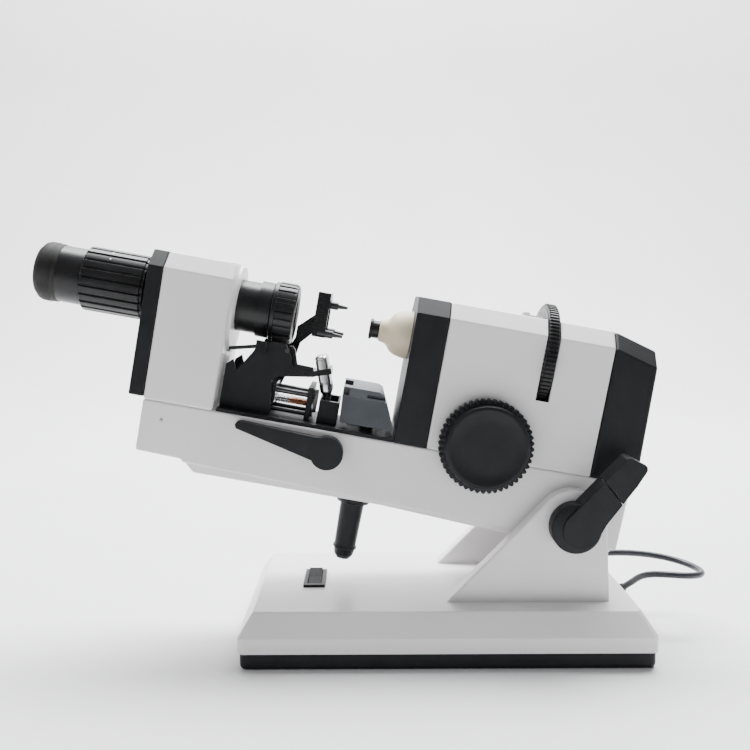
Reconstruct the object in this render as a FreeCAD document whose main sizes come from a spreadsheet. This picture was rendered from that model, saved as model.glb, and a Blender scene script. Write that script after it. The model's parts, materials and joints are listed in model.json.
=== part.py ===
import FreeCAD, Part
import math
import os
import re
import Sketcher

# Manual lensmeter: a tilting optical head between two uprights on a flat base.
# The base stands on Z = 0 with its centre at the origin. X runs from the eyepiece
# towards the lamp, and Y runs from the knob side to the far side.
# Head pieces are drawn in the head's own level frame, whose origin is the tilt axis,
# and are then tilted together by the head placement.

Vector = FreeCAD.Vector

DIMENSIONS = {
    # base
    "base_length": 277.2, "base_width": 151.2, "base_height": 36.5, "tray_height": 11.3,
    "top_inset": 9.6, "bevel_rise": 14.9, "corner_radius": 5.0, "wall": 3.0,
    "pad_radius": 9.0, "pad_thickness": 2.0, "pad_inset": 22.0,
    "screw_radius": 2.0, "screw_head_radius": 3.6, "screw_length": 9.0,
    "screw_front": 25.0, "screw_rear": 95.0,
    # switch, inlet and cord entries
    "bezel_length": 36.0, "bezel_width": 15.5, "bezel_height": 2.0, "bezel_centre": -91.3,
    "rocker_length": 29.0, "rocker_width": 9.6, "rocker_pivot_height": 34.0,
    "inlet_width": 22.0, "inlet_height": 9.0, "inlet_depth": 16.0, "inlet_centre": -30.0,
    "entry_height": 16.6, "cord_radius": 2.4, "base_entry_side": 29.0, "base_entry_rise": 38.0,
    "base_entry_yaw": 56.0,
    "gland_length": 9.0, "gland_root_radius": 4.4, "gland_tip_radius": 3.2, "gland_flange": 1.6,
    "head_entry_reach": 14.0, "head_entry_side": 24.0, "head_entry_lean": 45.0,
    # tilt axis and uprights
    "pivot_reach": 86.0, "pivot_height": 90.0, "head_tilt": 10.18, "shaft_radius": 6.0,
    "upright_inner": 36.6, "upright_thickness": 11.8, "boss_radius": 23.5,
    "foot_front": 1.0, "foot_rear": 112.2, "front_slope": 45.4, "rear_lean": 3.2,
    "clamp_radius": 16.9, "clamp_front": 62.0, "clamp_arm_back": 53.5, "cap_radius": 13.0,
    # head beam and covers
    "beam_front": -302.0, "beam_rear": 38.0, "seam": 31.7, "half_width": 35.0,
    "nose_bottom": -4.0, "pan_front": -267.5, "pan_floor": -13.6, "pan_rear_floor": -19.0,
    "pan_wall": 2.5, "pan_half_width": 31.7, "cover_top": 133.0, "cover_bevel": 11.0,
    "plate_front": -312.5, "front_cover_rear": -254.6, "fascia_front": -129.0,
    "rear_cover_front": -106.0, "rear_cover_rear": 8.7, "lamp_cover_rear": 41.5,
    "lamp_cover_end_height": 124.4, "edge_radius": 1.6,
    "slot_front": -38.8, "slot_rear": -29.4, "slot_bottom": 77.5,
    # telescope and eyepiece
    "axis_height": 104.5, "tube_radius": 18.2, "tube_bore": 15.5, "neck_radius": 17.3,
    "flange_radius": 31.0, "focus_front": -362.0, "focus_rear": -317.0, "focus_radius": 22.7,
    "barrel_radius": 19.9, "eyecup_front": -394.6, "eyecup_rear": -377.6, "eyecup_radius": 20.9,
    "prism_front": -228.6, "prism_rear": -211.3, "prism_radius": 21.6,
    # lens stop and collimator
    "nose_front": -158.5, "nose_radius": 7.4, "stop_radius": 6.3, "stop_bore": 4.0,
    "cone_front": -151.5, "cone_radius": 17.3, "collimator_radius": 14.0,
    # power drive, axis wheel and target
    "power_reach": -67.0, "power_height": 41.5, "knob_radius": 32.5, "knob_disc_radius": 29.0,
    "knob_back": 36.2, "knob_step": 45.5, "knob_front": 51.5, "drive_radius": 4.0,
    "wheel_radius": 39.8, "wheel_front": -38.2, "wheel_rear": -30.0, "target_radius": 6.0,
    "rail_height": 54.0, "rail_side": 14.0, "rail_radius": 2.5,
    # spectacle table and its lift
    "lever_reach": -172.7, "lever_height": 18.0, "lever_hub_radius": 11.3, "lever_back": 35.8,
    "lever_front": 45.0, "column_reach": -148.4, "column_radius": 5.0, "table_top": 63.6,
    "table_fold": 57.0, "table_bottom": 39.0, "table_half_depth": 30.0,
    "guard_flange_radius": 12.7, "guard_radius": 7.8, "guard_bottom": -64.8, "guard_bore": 5.7,
    # lens holder, marker and mechanism frame
    "deck_top": 34.2, "holder_rod_height": 51.0, "holder_rod_side": 11.0, "holder_rod_radius": 2.0,
    "leg_inner": 16.2, "leg_outer": 19.0, "marker_reach": -212.0, "marker_height": 80.0,
    "pen_tip_reach": -177.7, "pen_tip_height": 46.5, "pen_lean": -18.9, "pen_radius": 4.4,
    "pen_spacing": 9.3, "pad_disc_radius": 8.4, "frame_inner": 20.0, "frame_outer": 22.5,
    "release_reach": -229.0, "release_height": 80.0,
    # clearances
    "running": 0.05, "gap": 0.3,
}

GEAR_PRESSURE_ANGLE = math.radians(20)
POWER_MODULE = 0.8
POWER_TEETH = 18
LIFT_MODULE = 1.0
LIFT_TEETH = 24
TOOTH_PLAY = 0.12

# Route of the lead from the head to the base, in millimetres, between the two glands.
CORD_ROUTE = [
    (106.0, 24.0, 54.45), (114.6, 25.6, 48.8), (127.5, 29.5, 46.6), (141.0, 33.4, 45.8),
    (155.0, 36.4, 44.4), (168.6, 37.4, 42.6), (181.0, 34.2, 41.0), (190.4, 26.2, 39.8),
    (195.4, 14.8, 39.2), (195.0, 2.4, 39.8), (188.6, -8.0, 41.2), (177.4, -13.4, 42.6),
    (165.0, -11.6, 43.0), (155.6, -3.2, 40.8), (150.4, 8.0, 35.4), (147.0, 17.2, 27.7),
]

doc = FreeCAD.newDocument("Lensmeter")
sheet = doc.addObject("Spreadsheet::Sheet", "Dims")
SUB_PARTS = []


def fill_sheet():
    """Writes the driving dimensions as plain numbers with word aliases."""
    for row, (name, value) in enumerate(DIMENSIONS.items(), start=1):
        sheet.set("A%d" % row, name)
        sheet.set("B%d" % row, str(value))
        sheet.setAlias("B%d" % row, name)
    doc.recompute()


def formula(text):
    """Turns the dimension names in a formula into references to the sheet."""
    def reference(word):
        name = word.group()
        return "Dims." + name if name in DIMENSIONS else name
    return re.sub(r"[a-z_]+", reference, str(text))


def size(text):
    """Value of a formula in millimetres."""
    value = sheet.evalExpression(formula(text))
    return float(getattr(value, "Value", value))


def bind(obj, prop, text):
    obj.setExpression(prop, formula(text))


# Primitives and booleans

def box(along_x, along_y, along_z):
    """Box from a (start, end) pair of formulas on each axis."""
    solid = doc.addObject("Part::Box", "Block")
    spans = (along_x, along_y, along_z)
    for prop, axis, (start, end) in zip(("Length", "Width", "Height"), "xyz", spans):
        bind(solid, prop, "(%s) - (%s)" % (end, start))
        bind(solid, "Placement.Base." + axis, start)
    return solid


AXIS_TURN = {
    "X": FreeCAD.Rotation(Vector(0, 1, 0), 90),
    "Y": FreeCAD.Rotation(Vector(1, 0, 0), -90),
    "Z": FreeCAD.Rotation(),
}


def place(solid, axis, span, centre):
    """Seats a cylinder or cone on an axis: centre holds the two other coordinates."""
    solid.Placement = FreeCAD.Placement(Vector(), AXIS_TURN[axis])
    others = [name for name in "xyz" if name != axis.lower()]
    bind(solid, "Height", "(%s) - (%s)" % (span[1], span[0]))
    bind(solid, "Placement.Base." + axis.lower(), span[0])
    for name, text in zip(others, centre):
        bind(solid, "Placement.Base." + name, text)
    return solid


def rod(axis, span, centre, radius):
    solid = doc.addObject("Part::Cylinder", "Rod")
    bind(solid, "Radius", radius)
    return place(solid, axis, span, centre)


def taper(axis, span, centre, start_radius, end_radius):
    solid = doc.addObject("Part::Cone", "Taper")
    bind(solid, "Radius1", start_radius)
    bind(solid, "Radius2", end_radius)
    return place(solid, axis, span, centre)


def fuse(*pieces):
    joined = doc.addObject("Part::MultiFuse", "Joined")
    joined.Shapes = list(pieces)
    joined.Refine = True
    return joined


def cut(base, *tools):
    result = doc.addObject("Part::Cut", "Trimmed")
    result.Base = base
    result.Tool = tools[0] if len(tools) == 1 else fuse(*tools)
    return result


def group(*pieces):
    """Separate solids that share one node."""
    result = doc.addObject("Part::Compound", "Group")
    result.Links = list(pieces)
    return result


def tube(axis, span, centre, outer, inner):
    return cut(rod(axis, span, centre, outer), rod(axis, span, centre, inner))


# Sketch based bodies

def new_sketch(body, plane, offset="0"):
    """Sketch on one of the body's own origin planes, moved along the plane's normal."""
    sketch = body.newObject("Sketcher::SketchObject", "Outline")
    support = [item for item in body.Origin.OriginFeatures if item.Role == plane][0]
    sketch.AttachmentSupport = (support, "")
    sketch.MapMode = "FlatFace"
    bind(sketch, "AttachmentOffset.Base.z", offset)
    return sketch


def pin_point(sketch, item, corner, x, y):
    """Binds one point of a sketch to a pair of formulas."""
    for kind, text in (("DistanceX", x), ("DistanceY", y)):
        row = sketch.addConstraint(Sketcher.Constraint(kind, -1, 1, item, corner, size(text)))
        bind(sketch, "Constraints[%d]" % row, text)


def draw_polygon(sketch, points):
    """Closed polygon whose corners are pairs of formulas."""
    first = sketch.GeometryCount
    corners = [Vector(size(x), size(y), 0) for x, y in points]
    for start, end in zip(corners, corners[1:] + corners[:1]):
        sketch.addGeometry(Part.LineSegment(start, end), False)
    count = len(points)
    for index in range(count):
        following = first + (index + 1) % count
        sketch.addConstraint(Sketcher.Constraint("Coincident", first + index, 2, following, 1))
    for index, (x, y) in enumerate(points):
        pin_point(sketch, first + index, 1, x, y)


def new_body():
    return doc.addObject("PartDesign::Body", "Piece")


def pad(body, sketch, length, reverse=False):
    feature = body.newObject("PartDesign::Pad", "Pad")
    feature.Profile = sketch
    feature.Reversed = reverse
    bind(feature, "Length", length)
    return feature


def dress(body, kind, edges):
    """Adds a fillet or chamfer to the body's latest feature."""
    base = body.Tip
    feature = body.newObject("PartDesign::" + kind, kind)
    feature.Base = (base, edges)
    return feature


def soften(body, radius="edge_radius"):
    """Rounds every edge of the body."""
    doc.recompute()
    feature = dress(body, "Fillet", [])
    feature.UseAllEdges = True
    bind(feature, "Radius", radius)
    return body


def plate(points, near, far):
    """Polygon in the X-Z plane, thick from Y = near to Y = far."""
    body = new_body()
    sketch = new_sketch(body, "XZ_Plane", "-(%s)" % near)
    draw_polygon(sketch, points)
    pad(body, sketch, "(%s) - (%s)" % (far, near), reverse=True)
    return body


def section(points, front, rear):
    """Polygon in the Y-Z plane, long from X = front to X = rear."""
    body = new_body()
    sketch = new_sketch(body, "YZ_Plane", front)
    draw_polygon(sketch, points)
    pad(body, sketch, "(%s) - (%s)" % (rear, front))
    return body


def turned(plane, offset, points, axis_line):
    """Solid of revolution: axis_line is two points of the sketch."""
    body = new_body()
    sketch = new_sketch(body, plane, offset)
    ends = [Vector(size(x), size(y), 0) for x, y in axis_line]
    sketch.addGeometry(Part.LineSegment(*ends), True)
    for corner, (x, y) in enumerate(axis_line, start=1):
        pin_point(sketch, 0, corner, x, y)
    draw_polygon(sketch, points)
    revolution = body.newObject("PartDesign::Revolution", "Revolution")
    revolution.Profile = sketch
    revolution.ReferenceAxis = (sketch, ["Axis0"])
    revolution.Angle = 360
    return body


def turned_on_axis(profile):
    """Turned about the optical axis: profile is (X, radius) pairs."""
    points = [(x, "axis_height + %s" % radius) for x, radius in profile]
    return turned("XZ_Plane", "0", points, [("0", "axis_height"), ("10", "axis_height")])


def turned_across(x, z, profile):
    """Turned about an axis along Y: profile is (Y, radius) pairs."""
    points = [(y, "%s + %s" % (z, radius)) for y, radius in profile]
    return turned("YZ_Plane", x, points, [("0", z), ("10", z)])


def turned_upright(x, profile):
    """Turned about an axis along Z: profile is (radius, Z) pairs."""
    points = [("%s + %s" % (x, radius), z) for radius, z in profile]
    return turned("XZ_Plane", "0", points, [(x, "0"), (x, "10")])


# Placing the finished sub-parts

def base_part(name, obj):
    """Names a sub-part that stands in the base's frame."""
    obj.Label = name
    SUB_PARTS.append(obj)


def head_placement():
    pivot = Vector(size("pivot_reach"), 0, size("pivot_height"))
    return FreeCAD.Placement(pivot, FreeCAD.Rotation(Vector(0, 1, 0), size("head_tilt")))


def head_part(name, obj):
    """Names a sub-part drawn in the head's level frame and tilts it into place."""
    if obj.ExpressionEngine:
        obj = group(obj)
    obj.Label = name
    obj.Placement = head_placement()
    SUB_PARTS.append(obj)


# Gears and racks

def involute_gear(module, teeth, near, far):
    """Spur gear about Y at the origin, with its first tooth on the X axis."""
    pitch = module * teeth / 2
    root = pitch - 1.25 * module
    base = pitch * math.cos(GEAR_PRESSURE_ANGLE)
    tip = pitch + module
    roll = math.tan(GEAR_PRESSURE_ANGLE) - GEAR_PRESSURE_ANGLE
    half_tooth = (math.pi * module / 2 - TOOTH_PLAY) / (2 * pitch)
    flank = []
    for step in range(5):
        radius = max(root, base) + (tip - max(root, base)) * step / 4
        angle = math.acos(min(1.0, base / radius))
        flank.append((radius, half_tooth + roll - (math.tan(angle) - angle)))
    sides = [(root, half_tooth + roll)] + flank
    points = []
    for tooth in range(teeth):
        centre = 2 * math.pi * tooth / teeth
        points += [(radius, centre - angle) for radius, angle in sides]
        points += [(radius, centre + angle) for radius, angle in reversed(sides)]
    corners = [Vector(r * math.cos(a), near, r * math.sin(a)) for r, a in points]
    outline = Part.Face(Part.makePolygon(corners + corners[:1]))
    return outline.extrude(Vector(0, far - near, 0))


def rack_outline(module, count, back):
    """Rack along X with its pitch line on the X axis and its teeth pointing to -Y."""
    step = math.pi * module
    slope = math.tan(GEAR_PRESSURE_ANGLE)
    half_pitch_width = (step / 2 - TOOTH_PLAY) / 2
    tip_half = half_pitch_width - module * slope
    root_half = half_pitch_width + 1.25 * module * slope
    points = []
    for index in range(count):
        centre = (index - (count - 1) / 2) * step
        points += [(centre - root_half, 1.25 * module), (centre - tip_half, -module)]
        points += [(centre + tip_half, -module), (centre + root_half, 1.25 * module)]
    end = points[-1][0]
    return points + [(end, back), (-end, back)]


def rack(outline, near, far, corner, turn):
    """Extrudes a rack outline in the X-Z plane, turned by an angle and moved to a corner."""
    corners = [Vector(x, near, y) for x, y in outline]
    solid = Part.Face(Part.makePolygon(corners + corners[:1])).extrude(Vector(0, far - near, 0))
    solid.rotate(Vector(), Vector(0, 1, 0), turn)
    solid.translate(corner)
    return solid


def code_piece(shape):
    """Piece whose outline comes from a formula rather than a sketch."""
    piece = doc.addObject("Part::Feature", "Formed")
    piece.Shape = shape
    return piece


# Base

def block(length, width, bottom, top):
    """Upright block centred on the origin."""
    body = new_body()
    sketch = new_sketch(body, "XY_Plane", bottom)
    x, y = "(%s) / 2" % length, "(%s) / 2" % width
    draw_polygon(sketch, [("-" + x, "-" + y), (x, "-" + y), (x, y), ("-" + x, y)])
    pad(body, sketch, "(%s) - (%s)" % (top, bottom))
    doc.recompute()
    return body


def round_corners(body, radius):
    """Rounds the corner edges, upright or slanted, that join the block's sides."""
    corners = ["Edge%d" % (index + 1) for index, edge in enumerate(body.Shape.Edges)
               if abs(edge.Vertexes[0].Z - edge.Vertexes[-1].Z) > 1]
    bind(dress(body, "Fillet", corners), "Radius", radius)
    doc.recompute()


def edges_at(shape, height):
    """Names of the edges that lie at one height."""
    return ["Edge%d" % (index + 1) for index, edge in enumerate(shape.Edges)
            if abs(edge.BoundBox.ZMin - height) < 0.01 and abs(edge.BoundBox.ZMax - height) < 0.01]


def build_base_cover():
    body = block("base_length", "base_width", "tray_height", "base_height")
    height = size("base_height")
    bevel = dress(body, "Chamfer", edges_at(body.Shape, height))
    bevel.ChamferType = "Two distances"
    bind(bevel, "Size", "top_inset")
    bind(bevel, "Size2", "bevel_rise")
    doc.recompute()
    top = max((face for face in body.Shape.Faces), key=lambda face: face.CenterOfMass.z)
    if top.BoundBox.XLength < size("base_length - 2 * top_inset") - 1:
        bevel.FlipDirection = True
        doc.recompute()
    round_corners(body, "corner_radius")
    bind(dress(body, "Fillet", edges_at(body.Shape, height)), "Radius", "edge_radius")
    doc.recompute()
    lower = box(("wall - base_length / 2", "base_length / 2 - wall"),
                ("wall - base_width / 2", "base_width / 2 - wall"), ("tray_height", "21"))
    upper = box(("16 - base_length / 2", "base_length / 2 - 16"),
                ("16 - base_width / 2", "base_width / 2 - 16"), ("tray_height", "base_height - wall"))
    switch_hole = box(("bezel_centre - rocker_width / 2 - 0.9", "bezel_centre + rocker_width / 2 + 0.9"),
                      ("-rocker_length / 2 - 0.9", "rocker_length / 2 + 0.9"), ("30", "40"))
    inlet_hole = box(("base_length / 2 - inlet_depth - 1", "base_length / 2 + 2"),
                     ("inlet_centre - inlet_width / 2", "inlet_centre + inlet_width / 2"),
                     ("entry_height - inlet_height / 2", "entry_height + inlet_height / 2"))
    screw_holes = [rod("Z", ("base_height - wall - 1", "base_height + 1"), centre, "screw_radius + 0.02")
                   for centre in screw_centres()]
    base_part("base_cover", cut(body, lower, upper, switch_hole, inlet_hole, *screw_holes))


def screw_centres():
    """The four screws that hold the uprights from inside the base."""
    side = "(upright_inner + upright_thickness / 2)"
    return [(reach, sign + side) for reach in ("screw_front", "screw_rear") for sign in ("-", "")]


def pad_centres():
    for x in ("(base_length / 2 - pad_inset)", "(pad_inset - base_length / 2)"):
        for y in ("(base_width / 2 - pad_inset)", "(pad_inset - base_width / 2)"):
            yield x, y


def build_base_tray():
    body = block("base_length - 2.4", "base_width - 2.4", "0", "tray_height")
    round_corners(body, "corner_radius")
    bind(dress(body, "Fillet", edges_at(body.Shape, 0)), "Radius", "wall")
    hollow = box(("4.5 - base_length / 2", "base_length / 2 - 4.5"),
                 ("4.5 - base_width / 2", "base_width / 2 - 4.5"), ("wall", "tray_height"))
    seats = [rod("Z", ("0", "pad_thickness"), centre, "pad_radius") for centre in pad_centres()]
    base_part("base_tray", cut(body, hollow, *seats))
    pads = [rod("Z", ("0", "pad_thickness"), centre, "pad_radius") for centre in pad_centres()]
    base_part("base_pads", group(*pads))


def build_base_inside():
    board = box(("-60", "10"), ("-45", "35"), ("4.5", "6.1"))
    transformer = box(("-50", "-10"), ("-35", "10"), ("6.1", "28"))
    capacitor = rod("Z", ("6.1", "20"), ("0", "20"), "7")
    base_part("power_supply", group(fuse(board, transformer, capacitor)))
    screws = []
    for centre in screw_centres():
        head = rod("Z", ("base_height - wall - 3", "base_height - wall"), centre, "screw_head_radius")
        shank = rod("Z", ("base_height - wall", "base_height + screw_length"), centre, "screw_radius")
        screws.append(fuse(head, shank))
    base_part("upright_screws", group(*screws))


def build_switch():
    outer = box(("bezel_centre - bezel_width / 2", "bezel_centre + bezel_width / 2"),
                ("-bezel_length / 2", "bezel_length / 2"), ("base_height", "base_height + bezel_height"))
    skirt = box(("bezel_centre - rocker_width / 2 - 0.9", "bezel_centre + rocker_width / 2 + 0.9"),
                ("-rocker_length / 2 - 0.9", "rocker_length / 2 + 0.9"), ("26", "base_height"))
    well = box(("bezel_centre - rocker_width / 2 - gap", "bezel_centre + rocker_width / 2 + gap"),
               ("-rocker_length / 2 - gap", "rocker_length / 2 + gap"), ("28", "base_height + 3"))
    base_part("switch_bezel", cut(fuse(outer, skirt), well))
    profile = [("-14.2", "3.4"), ("-14.3", "-0.6"), ("-5", "-3"), ("5", "-3"), ("14.2", "-1.2"),
               ("14", "3.2"), ("12.3", "7.5"), ("0", "4.6")]
    points = [(y, "rocker_pivot_height + %s" % z) for y, z in profile]
    rocker = section(points, "bezel_centre - rocker_width / 2", "bezel_centre + rocker_width / 2")
    base_part("switch_rocker", soften(rocker, "0.35"))


def build_inlet():
    shell = box(("base_length / 2 - inlet_depth", "base_length / 2"),
                ("inlet_centre - inlet_width / 2", "inlet_centre + inlet_width / 2"),
                ("entry_height - inlet_height / 2", "entry_height + inlet_height / 2"))
    socket = box(("base_length / 2 - inlet_depth + 3", "base_length / 2 + 1"),
                 ("inlet_centre - 8.5", "inlet_centre + 8.5"), ("entry_height - 3.3", "entry_height + 3.3"))
    pins = [rod("X", ("base_length / 2 - inlet_depth + 3", "base_length / 2 - 3"),
                ("inlet_centre + %d" % side, "entry_height"), "1.2") for side in (-4, 4)]
    base_part("mains_inlet", fuse(cut(shell, socket), *pins))


def unit(pitch_degrees, yaw_degrees=0):
    """Unit vector pitched up from +X and yawed towards -Y."""
    pitch, yaw = math.radians(pitch_degrees), math.radians(yaw_degrees)
    return Vector(math.cos(pitch) * math.cos(yaw), -math.cos(pitch) * math.sin(yaw), math.sin(pitch))


def gland_shape(corner, face_normal, direction):
    """Flanged strain relief: a disc on a face and a tapering sleeve round the lead."""
    flange = Part.makeCylinder(size("gland_root_radius + 1"), size("gland_flange"), corner, face_normal)
    root = corner + face_normal * size("gland_flange") * 0.3
    sleeve = Part.makeCone(size("gland_root_radius"), size("gland_tip_radius"), size("gland_length"),
                           root, direction)
    slab = Part.makeBox(30, 30, 30)
    slab.Placement = FreeCAD.Placement(corner, FreeCAD.Rotation(Vector(0, 0, 1), -face_normal))
    slab.translate(slab.Placement.Rotation.multVec(Vector(-15, -15, 0)))
    return flange.fuse(sleeve).cut(slab).removeSplitter(), root + direction * size("gland_length")


def cord_gland_base():
    corner = Vector(size("base_length / 2"), size("base_entry_side"), size("entry_height"))
    return gland_shape(corner, Vector(1, 0, 0), unit(size("base_entry_rise"), size("base_entry_yaw")))


def cord_gland_head():
    """In the head's level frame, on the flat rear floor of the pan."""
    corner = Vector(size("head_entry_reach"), size("head_entry_side"), size("pan_rear_floor"))
    return gland_shape(corner, Vector(0, 0, -1), unit(-size("head_entry_lean")))


def rounded_path(points):
    """Straight runs joined by the largest tangent arcs that the runs allow."""
    edges = []
    start = points[0]
    radii = []
    for before, corner, after in zip(points, points[1:], points[2:]):
        first, second = corner - before, after - corner
        turn = first.getAngle(second)
        reach = 0.45 * min(first.Length, second.Length)
        radii.append(reach / math.tan(turn / 2))
        first.normalize()
        second.normalize()
        arc_start, arc_end = corner - first * reach, corner + second * reach
        inward = (second - first).normalize()
        sagitta = radii[-1] / math.cos(turn / 2) - radii[-1]
        edges.append(Part.LineSegment(start, arc_start).toShape())
        edges.append(Part.Arc(arc_start, corner + inward * sagitta, arc_end).toShape())
        start = arc_end
    edges.append(Part.LineSegment(start, points[-1]).toShape())
    print("cord bend radii, mm:", [round(radius, 1) for radius in radii])
    return Part.Wire(edges)


def build_cord():
    base_shape, base_exit = cord_gland_base()
    head_shape, head_exit = cord_gland_head()
    base_part("base_cord_gland", code_piece(base_shape))
    head_part("head_cord_gland", code_piece(head_shape))
    start = head_placement().multVec(head_exit)
    points = [start] + [Vector(*point) for point in CORD_ROUTE] + [base_exit]
    path = rounded_path(points)
    radius = size("cord_radius")
    ring = Part.makeCircle(radius, start, (points[1] - start).normalize())
    lead = path.makePipeShell([Part.Wire(ring)], True, True)
    expected = math.pi * radius ** 2 * path.Length
    print("cord length %.1f mm, volume %.1f of %.1f mm3" % (path.Length, lead.Volume, expected))
    print("cord ends", start, base_exit)
    base_part("link_cord", code_piece(lead))


# Uprights and tilt axis

def build_upright(name, near, far):
    body = new_body()
    sketch = new_sketch(body, "XZ_Plane", "-(%s)" % near)
    front_touch = ("pivot_reach - boss_radius * sin(front_slope)",
                   "pivot_height + boss_radius * cos(front_slope)")
    rear_touch = ("pivot_reach + boss_radius * cos(rear_lean)",
                  "pivot_height + boss_radius * sin(rear_lean)")
    draw_polygon(sketch, [("foot_front", "base_height"), ("foot_rear", "base_height"), rear_touch,
                          ("pivot_reach", "pivot_height"), front_touch])
    pad(body, sketch, "(%s) - (%s)" % (far, near), reverse=True)
    crown = rod("Y", (near, far), ("pivot_reach", "pivot_height"), "boss_radius")
    whole = fuse(body, crown)
    doc.recompute()
    rounded = doc.addObject("Part::Fillet", "Rounded")
    rounded.Base = whole
    rounded.Edges = [(index + 1, size("edge_radius"), size("edge_radius"))
                     for index, edge in enumerate(whole.Shape.Edges)
                     if edge.BoundBox.ZMin > size("base_height") + 0.01 and edge.BoundBox.YLength < 0.01
                     or edge.BoundBox.ZMax > size("base_height") + 5 and edge.BoundBox.YLength < 0.01]
    shaft_hole = rod("Y", ("(%s) - 1" % near, "(%s) + 1" % far), ("pivot_reach", "pivot_height"),
                     "shaft_radius + 0.02")
    middle = "((%s) + (%s)) / 2" % (near, far)
    holes = [rod("Z", ("base_height - 1", "base_height + screw_length + 1"), (reach, middle),
                 "screw_radius + 0.02") for reach in ("screw_front", "screw_rear")]
    base_part(name, cut(rounded, shaft_hole, *holes))


def build_tilt_axis():
    near = "-upright_inner - upright_thickness"
    far = "upright_inner + upright_thickness"
    build_upright("upright_near", near, "-upright_inner")
    build_upright("upright_far", "upright_inner", far)
    centre = ("pivot_reach", "pivot_height")
    base_part("pivot_shaft", group(rod("Y", ("%s - 10" % near, "%s + 1" % far), centre, "shaft_radius")))
    cap = turned_across("pivot_reach", "pivot_height", [
        ("upright_inner + upright_thickness", "0"), ("upright_inner + upright_thickness", "cap_radius"),
        ("upright_inner + upright_thickness + 4", "cap_radius"),
        ("upright_inner + upright_thickness + 6", "cap_radius - 2"),
        ("upright_inner + upright_thickness + 6", "0")])
    recess = rod("Y", (far, "%s + 1.05" % far), centre, "shaft_radius + 0.05")
    base_part("pivot_cap", cut(cap, recess))
    hub = rod("Y", ("-clamp_front", "%s - gap" % near), centre, "clamp_radius")
    outline = [("-4", "14.5"), ("0.5", "19"), ("28.6", "48.5"), ("31", "50"), ("33.6", "49.6"),
               ("43.6", "43.8"), ("45.4", "41.6"), ("45.2", "38.8"), ("39", "29"), ("30.4", "20.2"),
               ("19.3", "3.3"), ("6", "0")]
    arm = plate([("pivot_reach + %s" % x, "pivot_height + %s" % z) for x, z in outline],
                "-clamp_front", "-clamp_arm_back")
    whole = fuse(hub, arm)
    doc.recompute()
    rounded = doc.addObject("Part::Fillet", "Rounded")
    rounded.Base = whole
    rounded.Edges = [(index + 1, 1.2, 1.2) for index, edge in enumerate(whole.Shape.Edges)
                     if edge.BoundBox.YMax < 0.01 - size("clamp_front")]
    bore = rod("Y", ("%s - 10 - gap" % near, "%s" % near), centre, "shaft_radius + running")
    base_part("clamp_lever", cut(rounded, bore))


# Head beam and its covers

def build_beam():
    outline = [("beam_front", "seam"), ("beam_front", "nose_bottom"), ("-270.5", "nose_bottom - 1"),
               ("-269", "nose_bottom - 3"), ("beam_rear - 1", "-16"), ("beam_rear", "seam")]
    body = soften(plate(outline, "-half_width", "half_width"))
    cavity = plate([("beam_front + wall", "seam - wall"), ("beam_front + wall", "nose_bottom + wall"),
                    ("pan_front - 0.5", "nose_bottom + wall"), ("pan_front - 0.5", "-30"),
                    ("beam_rear - wall - 0.4", "-30"), ("beam_rear - wall", "seam - wall")],
                   "wall - half_width", "half_width - wall")
    through = ("-half_width - 1", "half_width + 1")
    holes = [
        rod("Y", through, ("0", "0"), "8.02"),
        rod("Y", ("-half_width - 1", "0"), ("lever_reach", "lever_height"), "6.52"),
        rod("Z", ("20", "40"), ("column_reach", "0"), "8.02"),
        box(("column_reach - 14.5", "column_reach - 2"), ("-5", "5"), ("20", "40")),
        box(("lever_reach - 9", "lever_reach + 9"), ("-5", "5"), ("20", "40")),
        box(("-95", "-45"), ("-24", "24"), ("20", "40")),
        rod("Z", ("20", "40"), ("20", "0"), "5"),
    ]
    head_part("beam_shell", cut(body, cavity, *holes))


def build_pan():
    outline = [("pan_front", "-3"), ("pan_front", "-8"), ("pan_front + 6.5", "pan_floor"),
               ("-130", "pan_floor"), ("-40", "-18.2"), ("0", "pan_rear_floor"), ("34", "pan_rear_floor"),
               ("34", "-9")]
    body = soften(plate(outline, "-pan_half_width", "pan_half_width"), "1.4")
    inside = plate([("pan_front + pan_wall", "0"), ("pan_front + pan_wall", "-7.5"),
                    ("pan_front + 7.5", "pan_floor + pan_wall"), ("-130", "pan_floor + pan_wall"),
                    ("-40", "-18.2 + pan_wall"), ("0", "pan_rear_floor + pan_wall"),
                    ("34 - pan_wall", "pan_rear_floor + pan_wall"), ("34 - pan_wall", "0")],
                   "pan_wall - pan_half_width", "pan_half_width - pan_wall")
    holes = [rod("Z", ("-30", "0"), ("column_reach", "0"), "8.02"),
             rod("Z", ("-30", "0"), ("head_entry_reach", "head_entry_side"), "2.6")]
    head_part("beam_pan", cut(body, inside, *holes))


def cover_section(bottom="seam"):
    """Outline across the head: upright sides and a bevel along each top edge."""
    return [("-half_width", bottom), ("half_width", bottom), ("half_width", "cover_top - cover_bevel"),
            ("half_width - cover_bevel", "cover_top"), ("cover_bevel - half_width", "cover_top"),
            ("-half_width", "cover_top - cover_bevel")]


def cover_hollow(front, rear):
    """Room inside a cover, open at the bottom."""
    inner = "half_width - wall"
    return section([("-(%s)" % inner, "seam - 1"), (inner, "seam - 1"),
                    (inner, "cover_top - cover_bevel - wall / 2"),
                    ("half_width - cover_bevel - wall / 2", "cover_top - wall"),
                    ("wall / 2 + cover_bevel - half_width", "cover_top - wall"),
                    ("-(%s)" % inner, "cover_top - cover_bevel - wall / 2")], front, rear)


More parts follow.
